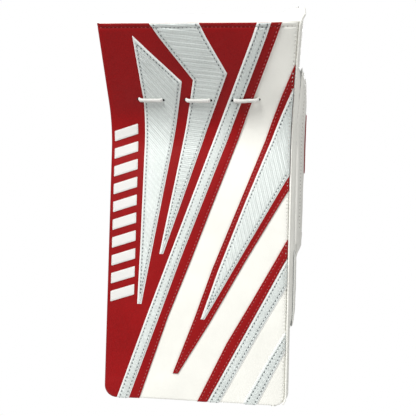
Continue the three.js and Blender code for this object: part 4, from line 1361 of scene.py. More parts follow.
# rear, thinning, slope and tuck are tables against the height up the board; outer and wall are tables
# against the share of the way back.
GUARDS = {
    "upper": {
        "low": 160.0, "high": 343.0,
        "outer": [[0, 101.8], [0.16, 105], [0.34, 109.4], [0.55, 113.4], [0.8, 116.2], [0.93, 116.6],
                  [1, 115.6]],
        "wall": [[0, 4], [0.16, 4], [0.34, 6.5], [0.55, 10], [0.8, 11], [0.93, 8.5], [1, 5]],
        "rear": [[160, 92], [166, 98], [175, 102], [300, 102], [318, 98], [331, 88], [339, 70], [343, 52]],
        "thinning": [[160, 0.8], [168, 1], [330, 1], [343, 0.8]],
        "slope": [[160, 7.5], [168, 4.5], [180, 2.2], [200, 1.8], [225, 1.5], [245, 0], [318, 0], [330, 3],
                  [337, 6], [343, 11]],
        "tuck": [[328, 0], [336, 0.5], [343, 1]],
        "channel": 0.22,
        "stitch_ends": (18, 8),
    },
    "lower": {
        "low": 76.0, "high": 159.0,
        "outer": [[0, 101.6], [0.3, 104], [0.45, 105.6], [0.7, 107.4], [0.9, 107.6], [1, 106.8]],
        "wall": [[0, 4], [0.3, 4], [0.45, 6.5], [0.7, 9], [0.9, 7], [1, 4.4]],
        "rear": [[76, 52], [79, 66], [85, 77], [94, 84], [150, 88], [159, 86]],
        "thinning": [[76, 0.8], [86, 1], [159, 1]],
        "slope": [[76, 9], [85, 6], [98, 2], [112, 0], [159, 0]],
        "tuck": [[76, 1], [84, 0.6], [95, 0]],
        "channel": 0.34,
        "stitch_ends": (8, 16),
    },
}
GUARD_TUCK = 1.6
# The stuffing swells a guard by this much on each side.
GUARD_SWELL = 1.3
TO_THE_RIGHT = np.array([1.0, 0.0, 0.0])


def guard_section(guard, s, share):
    """Outer x, inner x, y and z across a guard at a share of the way back."""
    start = board_points(0.0, s, 6.0)
    rear = along(guard["rear"], s)
    tuck = float(along(guard["tuck"], s))
    wall = np.maximum(4, along(guard["wall"], share) * along(guard["thinning"], s)) - GUARD_SWELL
    outer = along(guard["outer"], share) - along(guard["slope"], s) * share**2 - GUARD_SWELL
    outer = outer - GUARD_TUCK * tuck * (1 - 0.5 * share)
    return outer, outer - wall, start[1] + (rear - start[1]) * share, start[2]


def joined_guards(s, share):
    """Outer x, inner x, y and z at any height up both guards, blended where the two meet."""
    lower, upper = GUARDS["lower"], GUARDS["upper"]
    mix = smooth_step((s - 148) / 13)
    low = np.array(guard_section(lower, min(s, lower["high"]), share))
    high = np.array(guard_section(upper, max(s, upper["low"]), share))
    outer, inner, y, _ = low + (high - low) * mix
    return outer, inner, y, board_points(0.0, s, 6.0)[2]


def guard_rings(name, guard):
    """Sections up a guard before it is stuffed, thin at its edges and at its free end."""
    shares = np.concatenate([[0, 0.01, 0.03], np.linspace(0.07, 0.93, 18), [0.97, 0.99, 1]])
    rings = []
    for s in spaced(guard["low"] + 0.8, guard["high"] - 0.8, 4.0):
        free, joined = guard["high"] - s, s - guard["low"]
        if name == "lower":
            free, joined = joined, free
        fullness = 0.1 + 0.9 * round_over(min(free / 5, (joined + 1) / 3), 1)
        outer_side, inner_side = [], []
        for share in shares:
            outer, inner, y, z = guard_section(guard, s, share)
            round_off = round_over(min(share, 1 - share) * 60, 3.2)
            middle, half = (outer + inner) / 2, (outer - inner) / 2 * (0.25 + 0.75 * round_off) * fullness
            outer_side.append([middle + half, y, z])
            inner_side.append([middle - half, y, z])
        rings.append(outer_side + inner_side[::-1])
    return rings


def make_guard_binding(name, guard):
    """A rolled leather binding along a guard's free end and its rear edge."""
    free_end = guard["high"] - 1.0 if name == "upper" else guard["low"] + 1.0
    path = []
    for share in np.linspace(0.3, 0.97, 14):
        outer, inner, y, z = guard_section(guard, free_end, share)
        path.append([(outer + inner) / 2, y, z])
    rear = []
    for s in spaced(guard["low"] + 2, guard["high"] - 2, 5.0):
        outer, inner, y, z = guard_section(guard, s, 1.0)
        rear.append([(outer + inner) / 2, y + 0.2, z])
    path = rounded_path(np.array(path + (rear[::-1] if name == "upper" else rear)), 2.0, 6)
    ends = np.minimum(np.arange(len(path)), np.arange(len(path))[::-1])
    slim = 0.35 + 0.65 * smooth_step(ends / 16)
    binding = tube_object(f"guard_{name}_binding", path, 2.7, 1.2, [WHITE], 14, scale=slim)
    finish_piece(binding, "root", ())


def make_guard(name, guard, stitches):
    """A soft padded wall: white leather outside, grey nylon inside, with a bound edge and a quilted seam."""
    obj = closed_loft(f"guard_{name}_pad", guard_rings(name, guard), [WHITE, GREY_CLOTH])
    stuffed(obj, voxel=2.4, pressure=3.0, cap=1.6)

    # A sewn channel across the guard, and the gather along its bound edges.
    points, normals = vertex_array(obj), normals_of(obj.data.vertices)
    start = board_points(np.zeros(len(points)), np.clip(points[:, 2], guard["low"], guard["high"]), 6.0)[:, 1]
    share = (points[:, 1] - start) / (along(guard["rear"], points[:, 2]) - start)
    dip = 1.1 * bump_at(share, guard["channel"], 0.018)
    ruck = 0.25 * waves(points[:, 1], points[:, 2], 26, 12) * (0.4 + 0.6 * bump_at(share, 1, 0.2))
    set_vertices(obj, points - normals * (dip - ruck)[:, None])
    # The faces that look towards the hand are nylon.
    inside = normals_of(obj.data.polygons)[:, 0] < 0.05
    obj.data.polygons.foreach_set("material_index", inside.astype(np.int32))
    replaced = [f"guard_{name}_{layer}" for layer in ("skin", "foam", "lining")]
    finish_piece(obj, "root", replaced)
    make_guard_binding(name, guard)

    # Stitches: along the channel, and just inside the rear binding.
    below, above = guard["stitch_ends"]
    for at, inward in ((guard["channel"] - 0.02, 0.25), (guard["channel"] + 0.02, 0.25), (0.93, 0.1)):
        line = []
        for s in spaced(guard["low"] + below, guard["high"] - above, 3.0):
            outer, _, y, z = guard_section(guard, s, at)
            line.append([outer - inward + 0.35, y, z])
        snug = snapped(obj, np.array(line), TO_THE_RIGHT, 0.05)
        stitches.follow(snug, np.tile(TO_THE_RIGHT, (len(snug), 1)))
    return obj


def make_guard_flap():
    """The leather strip beside the piping that joins both guards to the board."""
    low, high = GUARDS["lower"]["low"] - 3, GUARDS["upper"]["high"] + 2
    hinge = [(0, 0.0), (0.12, 0.2), (0.3, 0.4), (0.55, 0.6), (0.8, 0.6), (0.95, 0.5), (1.08, -0.1)]
    rows = []
    for s in spaced(low, high, 2.5):
        full = smooth_step((s - low) / 15) * smooth_step((high - s) / 11)
        root = board_points(HALF_WIDTH + 0.9 + flare("right", 2.4), s, 2.4)
        inside = min(max(s, GUARDS["lower"]["low"]), GUARDS["upper"]["high"])
        outer, _, y, z = joined_guards(inside, 0.16)
        row = []
        for share, lift in hinge:
            opened = root[0] + (outer + 0.2 - root[0]) * share**0.8 + lift
            closed = HALF_WIDTH + 0.9 + flare("right", 2.4 + 11 * share**1.5)
            x = closed + (opened - closed) * full
            row.append([x, root[1] + (y - root[1]) * share**1.5, root[2] + (z - root[2]) * share])
        rows.append(row)
    flap = strip("guard_flap_leather", rows, [WHITE])
    add_modifier(flap, "SUBSURF", levels=1, render_levels=1)
    apply_modifiers(flap)


def make_guard_bridge():
    """The soft leather fold that covers the joint of the two guards and wraps round its rear edge."""
    low, high = 145.0, 177.0
    grid = []
    for s in spaced(low, high, 1.4):
        ends = float(smooth_step((s - low) / 3.5) * smooth_step((high - s) / 3.5))
        lift = 0.3 + 1.6 * ends
        row = []
        for share in np.concatenate([[0.1], np.linspace(0.13, 0.95, 20)]):
            outer, _, y, z = joined_guards(s, share)
            emerged = smooth_step((share - 0.12) / 0.14)
            rumple = 0.22 * ends * waves(y, s, 24, 17)
            row.append([outer + 0.3 + (lift - 0.3 + rumple) * emerged, y, z])
        outer, inner, y, z = joined_guards(s, 1.0)
        middle, half = (outer + inner) / 2, (outer - inner) / 2 + lift
        for angle in np.linspace(80, -80, 9):
            a = math.radians(angle)
            row.append([middle + (half + 0.4) * math.sin(a), y + 0.2 + (1.1 + 1.3 * ends) * math.cos(a), z])
        for share, lifted in ((0.97, 0.9), (0.94, 0.9), (0.9, 0.9), (0.86, 0.1)):
            _, inner, y, z = joined_guards(s, share)
            row.append([inner - lift * lifted, y, z])
        grid.append(row)
    strip("guard_bridge_leather", grid, [WHITE])


def snapped(obj, line, direction, lift):
    """A line of points dropped onto a piece's surface from outside, along -direction."""
    depsgraph = bpy.context.evaluated_depsgraph_get()
    evaluated = obj.evaluated_get(depsgraph)
    inverse = obj.matrix_world.inverted()
    aim = (inverse.to_3x3() @ Vector(-direction)).normalized()
    out = []
    for point in line:
        origin = inverse @ Vector(placed(point + direction * 25))
        hit, where, _, _ = evaluated.ray_cast(origin, aim)
        if hit:
            point = np.array(obj.matrix_world @ where) / MM + GRIP_CENTRE + direction * lift
        out.append(point)
    return np.array(out)


def make_guard_patch(obj):
    """A plain red leather patch sewn to the outside of the upper guard."""
    rows = spaced(240, 306, 3.0)
    columns = np.linspace(0.5, 0.86, 16)
    sections = [guard_section(GUARDS["upper"], s, share) for s in rows for share in columns]
    line = np.array([[outer, y, z] for outer, _, y, z in sections])
    surface = snapped(obj, line, TO_THE_RIGHT, 0.0).reshape(len(rows), len(columns), 3)
    surface[:, :, 0] += -0.4 + 1.4 * round_over(inside_grid(rows[:, None], columns[None, :], 100), 3)
    strip("guard_patch_leather", surface, [RED])


# ------------------------------------------------------------------ hand pad

PAD_LOW, PAD_HIGH = 92.0, 286.0
PAD_HALF_WIDTH = [[92, 36], [96, 43], [106, 48], [286, 48]]
PAD_CHANNELS = (125, 152, 179, 206, 233, 258)
# The stuffing swells the pad by this much at its sides and behind.
PAD_SWELL_SIDE, PAD_SWELL_REAR = 1.5, 1.6


def make_hand_pad():
    """The pad against the back of the hand: a stuffed nylon cushion with sewn cross channels."""
    angles = np.radians(np.arange(0, 360, 9))
    rings = []
    for s in spaced(PAD_LOW + 2, PAD_HIGH - 2, 5.0):
        half = along(PAD_HALF_WIDTH, s) - PAD_SWELL_SIDE
        round_off = round_over(min(s - PAD_LOW, PAD_HIGH - s), 7)
        _, front, height = board_points(0, s, BACK_DEPTH + 0.9)
        rear = HAND_FRONT - PAD_SWELL_REAR
        middle = (front + rear) / 2
        thick = max(2.0, (rear - front) / 2) * (0.45 + 0.55 * round_off)
        ring = []
        for a in angles:
            c, d = math.cos(a), math.sin(a)
            x = HAND_CENTRE_X + half * math.copysign(abs(c) ** 0.32, c)
            y = middle + thick * math.copysign(abs(d) ** 0.5, d)
            ring.append([x, y, height])
        rings.append(ring)
    obj = closed_loft("hand_pad_cushion", rings, [BLACK_CLOTH])
    stuffed(obj, voxel=4.0, pressure=3.5, cap=1.6)
    points, normals = vertex_array(obj), normals_of(obj.data.vertices)
    dip = sum(1.3 * bump_at(points[:, 2], z, 1.3) for z in PAD_CHANNELS)
    set_vertices(obj, points - normals * (dip * (np.abs(normals[:, 1]) > 0.3))[:, None])
    finish_piece(obj, "root", ["hand_pad"])


# ------------------------------------------------------------------ glove

# Half widths, and for the cuff half depths too, at heights up the hand.
SLEEVE_SECTIONS = [[158, 53], [170, 52.5], [190, 50], [215, 47], [235, 44.5], [250, 43.5]]
SLEEVE_HALF_Y = 19.5
PATCH_SECTIONS = [[164, 52.7], [178, 51.5], [200, 48.8], [226, 45.6], [240, 44.1]]
CUFF_SECTIONS_X = [[250.8, 43.5], [275, 47], [300, 51], [316, 54], [322, 54.6]]
CUFF_SECTIONS_Y = [[250.8, 20], [275, 20.8], [300, 21.8], [316, 22.5], [322, 22.6]]
# How boxy the ring round the hand is: 1 is an ellipse, 0 a rectangle.
RING_POWER = 0.78
# The thumb hole's middle as (y, z), and the radii of its cut, its rolled rim and the gap in the seams.
THUMB_HOLE = np.array([61.0, 208.0])
HOLE_CUT = 12.6
HOLE_RIM = 13.2
HOLE_CLEAR = 16.5


def ring_point(half_x, half_y, offset, degrees, z):
    """A point on the rounded box-like ring round the hand: 0 is the thumb side, 90 the palm."""
    a = np.radians(np.asarray(degrees, float))
    c, d = np.cos(a), np.sin(a)
    x = HAND_CENTRE_X + (half_x + offset) * np.sign(c) * np.abs(c) ** RING_POWER
    y = HAND_FRONT + half_y + (half_y + offset) * np.sign(d) * np.abs(d) ** RING_POWER
    return np.stack(np.broadcast_arrays(x, y, np.asarray(z, float)), -1)


def sleeve_point(z, degrees, offset):
    """A point on or near the hand sleeve."""
    return ring_point(along(SLEEVE_SECTIONS, z), SLEEVE_HALF_Y, offset, degrees, z)


def cuff_point(z, degrees, offset):
    """A point on or near the wrist cuff."""
    return ring_point(along(CUFF_SECTIONS_X, z), along(CUFF_SECTIONS_Y, z), offset, degrees, z)


def thickened(name, outer, inner, materials, wrap=False):
    """A sheet with an outside, an inside and closed edges, from two grids of points."""
    outer, inner = np.asarray(outer, float), np.asarray(inner, float)
    rows, columns = outer.shape[:2]
    points = np.concatenate([outer.reshape(-1, 3), inner.reshape(-1, 3)])
    base = rows * columns
    front = grid_quads(rows, columns, wrap)
    back = front[:, ::-1] + base
    rim = []
    last = (rows - 1) * columns
    for j in range(columns if wrap else columns - 1):
        k = (j + 1) % columns
        rim.append([k, j, base + j, base + k])
        rim.append([last + j, last + k, base + last + k, base + last + j])
    if not wrap:
        for i in range(rows - 1):
            a, b = i * columns, (i + 1) * columns
            rim.append([a, b, base + b, base + a])
            rim.append([b + columns - 1, a + columns - 1, base + a + columns - 1, base + b + columns - 1])
    faces = np.concatenate([front, back]).tolist() + rim
    lining = 1 if len(materials) > 1 else 0
    marks = [0] * len(front) + [lining] * len(back) + [0] * len(rim)
    return make_object(name, points, faces, materials, None, marks)


def creased(points, outward, amount, seed, scale=24):
    """Points moved in and out by gentle lumps."""
    shift = amount * waves(points[..., 0] + points[..., 1], points[..., 2], scale, seed)
    return points + outward * shift[..., None]


def ring_outward(points):
    """The direction straight out from the hand at points round it."""
    away = points - np.array([HAND_CENTRE_X, HAND_FRONT + SLEEVE_HALF_Y, 0])
    away[..., 2] = 0
    away[..., 0] *= 0.35
    return away / np.linalg.norm(away, axis=-1)[..., None]


def cut_thumb_hole(obj):
    """Takes out the sleeve's faces inside the thumb hole."""
    work = bmesh.new()
    work.from_mesh(obj.data)
    gone = []
    for face in work.faces:
        x, y, z = np.array(face.calc_center_median()) / MM + GRIP_CENTRE
        if x > 30 and math.hypot(y - THUMB_HOLE[0], z - THUMB_HOLE[1]) < HOLE_CUT:
            gone.append(face)
    bmesh.ops.delete(work, geom=gone, context="FACES")
    work.to_mesh(obj.data)
    work.free()


def make_thumb_rim():
    """The rolled leather rim of the thumb hole."""
    path = []
    for a in np.radians(np.linspace(0, 360, 49)):
        y, z = THUMB_HOLE + HOLE_RIM * np.array([math.cos(a), math.sin(a)])
        across = abs((y - HAND_FRONT - SLEEVE_HALF_Y) / SLEEVE_HALF_Y)
        d = min(1.0, across) ** (1 / RING_POWER)
        x = HAND_CENTRE_X + along(SLEEVE_SECTIONS, z) * math.sqrt(1 - d * d) ** RING_POWER - 1.0
        path.append([x, y, z])
    rim = tube_object("thumb_opening_rim", np.array(path), 2.2, 2.2, [SUEDE], 12, up=(1, 0, 0))
    finish_piece(rim, "root", ())


def make_sleeve(stitches):
    """The glove's hand sleeve: suede palm, nylon back, sewn seams and a hole for the thumb."""
    z_rows = spaced(158.6, 249.4, 2.6)
    degrees = np.linspace(0, 360, 96, endpoint=False)
    z, turn = np.meshgrid(z_rows, degrees, indexing="ij")
    outward = ring_outward(sleeve_point(z, turn, 0.0))
    rim = 0.9 * bump_at(z, z_rows[0] + 1.2, 1.6) + 0.7 * bump_at(z, z_rows[-1] - 1.2, 1.6)
    seam = 0.9 * bump_at(turn, 28, 1.6) + 0.9 * bump_at(turn, 152, 1.6)
    outer = creased(sleeve_point(z, turn, -0.2 + rim - seam), outward, 0.5, 21)
    inner = creased(sleeve_point(z, turn, -2.4), outward, 0.4, 22)
    obj = thickened("palm_sleeve_leather", outer, inner, [SUEDE, BLACK_CLOTH], wrap=True)
    cut_thumb_hole(obj)
    finish_piece(obj, "root", ["palm_sleeve"])
    make_thumb_rim()
    # Two rows of stitches beside each seam, broken by the thumb hole.
    for angle in (24, 32, 148, 156):
        line = sleeve_point(np.linspace(163, 246, 160), angle, 0.3)
        outward = ring_outward(line)
        clear = np.hypot(line[:, 1] - THUMB_HOLE[0], line[:, 2] - THUMB_HOLE[1]) > HOLE_CLEAR
        clear = clear | (line[:, 0] < 0)
        below = line[:, 2] < THUMB_HOLE[1]
        for part in (clear & below, clear & ~below):
            stitches.follow(line[part], outward[part])


def make_palm_patch(stitches):
    """A second layer of leather where the stick rubs the palm, with its edge turned and sewn."""
    low, high, start, end = 164.5, 239.5, 52.5, 127.5
    z_rows = spaced(low, high, 2.4, [165, 165.6, 166.5, 167.5, 236.5, 237.5, 238.4, 239])
    edge = np.array([0, 0.3, 0.9, 1.7, 2.7])
    degrees = np.concatenate([start + edge, np.linspace(57, 123, 30), end - edge[::-1]])
    z, turn = np.meshgrid(z_rows, degrees, indexing="ij")
    near = inside_grid(z, turn, 0.75)
    rise = -0.3 + 1.9 * round_over(near, 1.2) - 0.35 * bump_at(near, 2.4, 0.6)
    points = ring_point(along(PATCH_SECTIONS, z), SLEEVE_HALF_Y, rise, turn, z)
    strip("palm_patch_leather", points, [SUEDE_RED], replaces=["palm_patch"])
    loop = [(165 + 2 * k, 55.5) for k in range(37)] + [(237.3, a) for a in range(57, 124, 2)]
    loop += [(237 - 2 * k, 124.5) for k in range(36)] + [(166.8, a) for a in range(123, 56, -2)]
    z, turn = np.array(loop, float).T
    stitches.follow_ring(ring_point(along(PATCH_SECTIONS, z), SLEEVE_HALF_Y, 1.6, turn, z))


CUFF_ARC = (109, 431)
CUFF_CHANNELS = (268, 312)


def make_cuff(stitches):
    """The wrist cuff: quilted white leather outside, nylon lining inside, with a bound edge."""
    z_rows = spaced(251.4, 321.6, 2.4, [253, 254.5, 319, 320.5])
    z, turn = np.meshgrid(z_rows, np.linspace(*CUFF_ARC, 120), indexing="ij")
    lower, upper = CUFF_CHANNELS
    channels = 1.1 * (bump_at(z, lower, 1.4) + bump_at(z, upper, 1.4))
    swell = 0.7 * np.sin(math.pi * np.clip((z - lower) / (upper - lower), 0, 1))
    swell = swell + 0.5 * np.sin(math.pi * np.clip((z - 252) / 16, 0, 1))
    outward = ring_outward(cuff_point(z, turn, 0.0))
    outer = creased(cuff_point(z, turn, -0.6 + swell * 0.6 - channels), outward, 0.25, 31, 30)
    inner = creased(cuff_point(z, turn, -3.9), outward, 0.2, 32, 30)
    obj = thickened("cuff_leather", outer, inner, [WHITE, BLACK_CLOTH])
    finish_piece(obj, "root", ["cuff"])
    upright = spaced(252, 320, 3.0)
    edge = [cuff_point(height, CUFF_ARC[0] + 0.5, -2.2) for height in upright]
    edge += [cuff_point(321.6, a, -2.2) for a in np.linspace(CUFF_ARC[0] + 1, CUFF_ARC[1] - 1, 110)]
    edge += [cuff_point(height, CUFF_ARC[1] - 0.5, -2.2) for height in upright[::-1]]
    binding = tube_object("cuff_binding", rounded_path(np.array(edge), 1.6, 3), 2.7, 1.5, [BLACK_CLOTH], 14)
    finish_piece(binding, "root", ())
    for channel in CUFF_CHANNELS:
        for height in (channel - 1.6, channel + 1.6):
            stitches.follow_ring(cuff_point(np.full(130, height), np.linspace(114, 426, 130), -0.6))


def make_cuff_pads():
    """The two cushions sewn inside the cuff, each quilted once across."""
    for side, arc in {"thumb_side": (-41, 41), "far_side": (139, 221)}.items():
        z, turn = np.meshgrid(spaced(262.5, 309.5, 3.0), np.linspace(*arc, 40), indexing="ij")
        dome = 4.0 * round_over(inside_grid(z, turn, 0.8), 5)
        outer = cuff_point(z, turn, -4.3)
        inner = cuff_point(z, turn, -4.8 - dome + 0.8 * bump_at(z, 286, 1.2))
        obj = thickened(f"cuff_pad_{side}_cushion", outer, inner, [BLACK_CLOTH])
        finish_piece(obj, "root", [f"cuff_pad_{side}"])


def band(name, z_range, arc, offset, thickness, material, body, replaces, steps):
    """A flat strap or tape that follows the cuff, with rounded edges."""
    low, high = z_range
    edge = np.array([0, 0.25, 0.8, 1.6])
    rows = np.concatenate([low + edge, np.linspace(low + 3, high - 3, 8), high - edge[::-1]])
    z, turn = np.meshgrid(rows, np.linspace(*arc, steps), indexing="ij")
    full = round_over(np.minimum(z - low, high - z), 0.9)
    middle, half = offset + thickness / 2, thickness / 2 * (0.15 + 0.85 * full)
    obj = thickened(name, cuff_point(z, turn, middle + half), cuff_point(z, turn, middle - half), [material])
    finish_piece(obj, body, replaces)


def make_strap(anchor_stitches, strap_stitches):
    """The wrist strap, its hook and loop tapes, its pull tab and the webbing it hangs from."""
    band("loop_patch_tape", (274.4, 305.6), (6.5, 65.5), 0.4, 1.2, TAPE, "root", ["loop_patch"],
         30)
    band("strap_anchor_webbing", (276.4, 303.6), (168.5, 213.5), 0.5, 1.4, WEBBING, "root", ["strap_anchor"],
         30)
    band("strap_webbing_band", (276.4, 303.6), (10.5, 165.5), 3.5, 1.4, WEBBING, "strap", ["strap"],
         90)
    band("strap_hook_tape", (277, 303), (12.5, 55.5), 2.1, 0.9, TAPE, "strap", ["strap_hook_patch"],
         26)
    band("strap_pull_tab", (279, 301), (10.8, 17), 4.9, 0.8, RED, "strap", (), 10)
    for height in (278.8, 301.2):
        strap_stitches.follow_ring(cuff_point(np.full(80, height), np.linspace(12, 164, 80), 5.0))
    # The soft webbing that carries the strap on from its anchor.
    z, turn = np.meshgrid(np.linspace(276.8, 303.2, 14), np.linspace(156, 181, 34), indexing="ij")
    offset = along([[156, 5.0], [164, 5.0], [173, 3.4], [181, 2.0]], turn)
    outer, inner = cuff_point(z, turn, offset + 0.9), cuff_point(z, turn, offset)
    link = thickened("strap_root_webbing", outer, inner, [WEBBING])
    spot(cuff_point(290, 176, 3.0))
    spot(cuff_point(290, 160, 5.0))
    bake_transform(link)
    # A box with a cross in it is sewn through the anchor.
    low, high, start, end = 279, 301, 188, 210
    box = [(low, start), (high, start), (high, end), (low, end), (low, start), (high, end), (high, start),
           (low, end)]
    for (z_a, a), (z_b, b) in zip(box[:-1], box[1:]):
        anchor_stitches.follow_ring(cuff_point(np.linspace(z_a, z_b, 24), np.linspace(a, b, 24), 2.0), 3.0)


# ------------------------------------------------------------------ fingers and thumb

# Each finger's place across the hand, in finger pitches from its middle, and its length.
FINGERS = {"index": (1.5, 76.0), "middle": (0.5, 84.0), "ring": (-0.5, 79.0), "little": (-1.5, 66.0)}
FINGER_PITCH = 25.0
FINGER_HALF_WIDTH, FINGER_HALF_DEPTH = 12.0, 13.0
FINGER_SIDES = 40
# Size against the share of the way to the tip.
FINGER_TAPER = [[0, 1], [0.35, 0.98], [0.7, 0.9], [0.86, 0.78], [0.93, 0.62], [0.97, 0.45], [0.99, 0.26],
                [1, 0.06]]
CURL = 9.0
# The two seams down a finger's sides, and the shares of its length where it is drawn in.
FINGER_SEAMS = (0.0, math.pi)
FINGER_CREASES = (0.42, 0.72)


def stall_rows(start, length):
    """Distances along a finger or thumb, closer together at its tip."""
    return np.concatenate([spaced(start, length * 0.86, 2.0), length * np.linspace(0.88, 1.0, 9)])


def tip_cap(points, rings, reverse=False):
    """Triangles that close the last ring of a stall onto the last of its points."""
    count, sides = rings.shape[:2]
    last = (count - 1) * sides
    pairs = [(last + j, last + (j + 1) % sides) for j in range(sides)]
    return [[*(pair[::-1] if reverse else pair), len(points) - 1] for pair in pairs]


def finger_rings(centre_x, length, rows):
    """Rings down a finger: wide and flat where it leaves the sleeve, round at its tip."""
    rings = []
    angles = np.linspace(0, 2 * math.pi, FINGER_SIDES, endpoint=False)
    for reach in rows:
        share = max(0.0, reach / length)
        taper = along(FINGER_TAPER, share)
        base = smooth_step((-reach) / 18) if reach < 0 else 0.0
        half_width = FINGER_HALF_WIDTH * taper * (1 - 0.03 * base)
        half_depth = FINGER_HALF_DEPTH * taper * (1 + 0.22 * base)
        pull = 0.6 * sum(bump_at(share, crease, 0.05) for crease in FINGER_CREASES) if share > 0 else 0
        depth = KNUCKLE[0] + CURL * share**2 + (HAND_FRONT + SLEEVE_HALF_Y - KNUCKLE[0]) * base
        rings.append(np.stack([
            centre_x + (half_width - pull) * np.cos(angles),
            depth + (half_depth - pull) * np.sin(angles),
            np.full(FINGER_SIDES, KNUCKLE[1] - reach),
        ], -1))
    return np.array(rings)


def make_finger_pad(name, centre_x, length):
    """A small padded panel on the back of a finger, quilted once across."""
    low, high = 8, length * 0.66
    angles = np.radians(np.linspace(-140, -40, 22))
    side = np.minimum(angles - angles[0], angles[-1] - angles) * FINGER_HALF_WIDTH
    pad = []
    for reach in spaced(low, high, 2.0):
        taper = along(FINGER_TAPER, reach / length)
        depth = KNUCKLE[0] + CURL * (reach / length) ** 2
        rise = -0.8 + 3.0 * round_over(np.minimum(min(reach - low, high - reach), side), 3.5)
        rise = rise - 1.3 * bump_at(reach, length * 0.36, 1.5)
        pad.append(np.stack([
            centre_x + (FINGER_HALF_WIDTH * taper + rise) * np.cos(angles),
            depth + (FINGER_HALF_DEPTH * taper + rise) * np.sin(angles),
            np.full(len(angles), KNUCKLE[1] - reach),
        ], -1))
    strip(f"finger_{name}_back_pad", pad, [WHITE], body=name)


def make_finger(number, name, place, length):
    """One finger: a suede stall with a nylon back that bends at its root, sewn down both sides."""
    centre_x = HAND_CENTRE_X + place * FINGER_PITCH
    rows = stall_rows(-23, length)
    rings = finger_rings(centre_x, length, rows)
    angles = np.linspace(0, 2 * math.pi, FINGER_SIDES, endpoint=False)
    outward = np.stack([np.cos(angles), np.sin(angles), np.zeros_like(angles)], -1)[None]
    lumps = 0.45 * waves(angles[None, :] * 12 + 31 * number, rows[:, None], 22, 41 + number)
    calm = smooth_step((rows + 18) / 8)[:, None]
    rings = rings + outward * (lumps * calm)[..., None]
    side_seam = 0.7 * (bump_at(np.cos(angles), 1, 0.02) + bump_at(np.cos(angles), -1, 0.02))[None, :]
    rings = rings - outward * (side_seam * calm)[..., None]
    points = np.concatenate([rings.reshape(-1, 3), rings[-1].mean(0)[None]])
    quads = grid_quads(*rings.shape[:2], wrap=True)
    back = np.sin(angles + math.pi / FINGER_SIDES) <= -0.08
    marks = np.concatenate([np.tile(back, len(rings) - 1), np.zeros(FINGER_SIDES)])
    obj = make_object(f"finger_{name}_leather", points, quads.tolist() + tip_cap(points, rings),
                      [SUEDE, BLACK_CLOTH], None, marks)
    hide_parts(f"finger_{name}")
    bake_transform(obj)
    thread = Stitches(f"finger_{name}_stitches", GREY_THREAD, 2.4, 0.32)
    keep = (rows > 4) & (rows < length * 0.9)
    for angle in FINGER_SEAMS:
        column = round(angle / (2 * math.pi) * FINGER_SIDES)
        out = np.tile([math.cos(angle), 0.0, 0.0], (keep.sum(), 1))
        for beside in (-1, 1):
            thread.follow(rings[keep, (column + beside) % FINGER_SIDES] + out * 0.15, out, 3.4)
    make_finger_pad(name, centre_x, length)
    thread.make(name)


THUMB_BASE = np.array([63.0, 68.0, 212.0])
THUMB_DIRECTION = np.array([0.3, 0.42, -0.86]) / np.linalg.norm([0.3, 0.42, -0.86])
THUMB_ACROSS = np.cross(THUMB_DIRECTION, [0, 1, 0])
THUMB_ACROSS = THUMB_ACROSS / np.linalg.norm(THUMB_ACROSS)
THUMB_THROUGH = np.cross(THUMB_ACROSS, THUMB_DIRECTION)
THUMB_LENGTH = 70.0
THUMB_RADIUS = 14.0
THUMB_SIDES = 44
# The thumb's axis starts at its root inside the hand, bends round a corner and then runs straight. The
# corner and the start of the straight are distances along the thumb's direction from its base.
THUMB_ROOT = np.array([44.0, 61.0, 208.0])
THUMB_CORNER = -5.0
THUMB_STRAIGHT = 6.0
THUMB_NECK = 0.07
THUMB_CREASES = (0.45, 0.72)
# The shield: its lowest and highest reach along the thumb, and its arc round it.
SHIELD_REACH = (6.5, 49.5)
SHIELD_ARC = (-19, 99)


def thumb_point(reach, radius, degrees):
    """A point at a reach along the thumb, a radius from its axis and an angle round it."""
    reach, radius, degrees = np.broadcast_arrays(*(np.asarray(v, float) for v in (reach, radius, degrees)))
    a = np.radians(degrees)
    return (THUMB_BASE + reach[..., None] * THUMB_DIRECTION + (radius * np.cos(a))[..., None] * THUMB_ACROSS
            - (radius * np.sin(a))[..., None] * THUMB_THROUGH)


def make_thumb_stall():
    """The leather stall that bends out of the sleeve's opening."""
    bend_end = THUMB_BASE + THUMB_STRAIGHT * THUMB_DIRECTION
    corner = THUMB_BASE + THUMB_CORNER * THUMB_DIRECTION
    t = np.linspace(0, 1, 20)[:-1, None]
    bent = THUMB_ROOT * (1 - t) ** 2 + corner * 2 * t * (1 - t) + bend_end * t**2
    reach = stall_rows(THUMB_STRAIGHT, THUMB_LENGTH)
    path = np.concatenate([bent, THUMB_BASE + reach[:, None] * THUMB_DIRECTION])
    reach = np.concatenate([np.linspace(-24, THUMB_STRAIGHT, 20)[:-1], reach])
    rings, _ = swept(path, 1.0, 1.0, THUMB_SIDES, up=THUMB_THROUGH)
    share = np.clip(reach / THUMB_LENGTH, 0, 1)
    neck = 1 - THUMB_NECK * smooth_step(-reach / 20)
    radius = (THUMB_RADIUS * along(FINGER_TAPER, share) * neck)[:, None]
    calm = (smooth_step((reach + 14) / 10) * smooth_step((1 - share) * 8))[:, None]
    turn = np.linspace(0, 360, THUMB_SIDES, endpoint=False)[None, :]
    crease = sum(bump_at(share, place, 0.04) for place in THUMB_CREASES)
    around = np.abs(turn - 180) * 0.24
    radius = radius + 0.5 * calm * waves(around, reach[:, None], 24, 55) - 0.6 * crease[:, None]
    rings = path[:, None] + (rings - path[:, None]) * radius[..., None]
    points = np.concatenate([rings.reshape(-1, 3), rings[-1].mean(0)[None]])
    faces = grid_quads(len(path), THUMB_SIDES, True).tolist() + tip_cap(points, rings, reverse=True)
    obj = make_object("thumb_stall_leather", points, faces, [SUEDE])
    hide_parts("thumb_stall")
    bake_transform(obj)


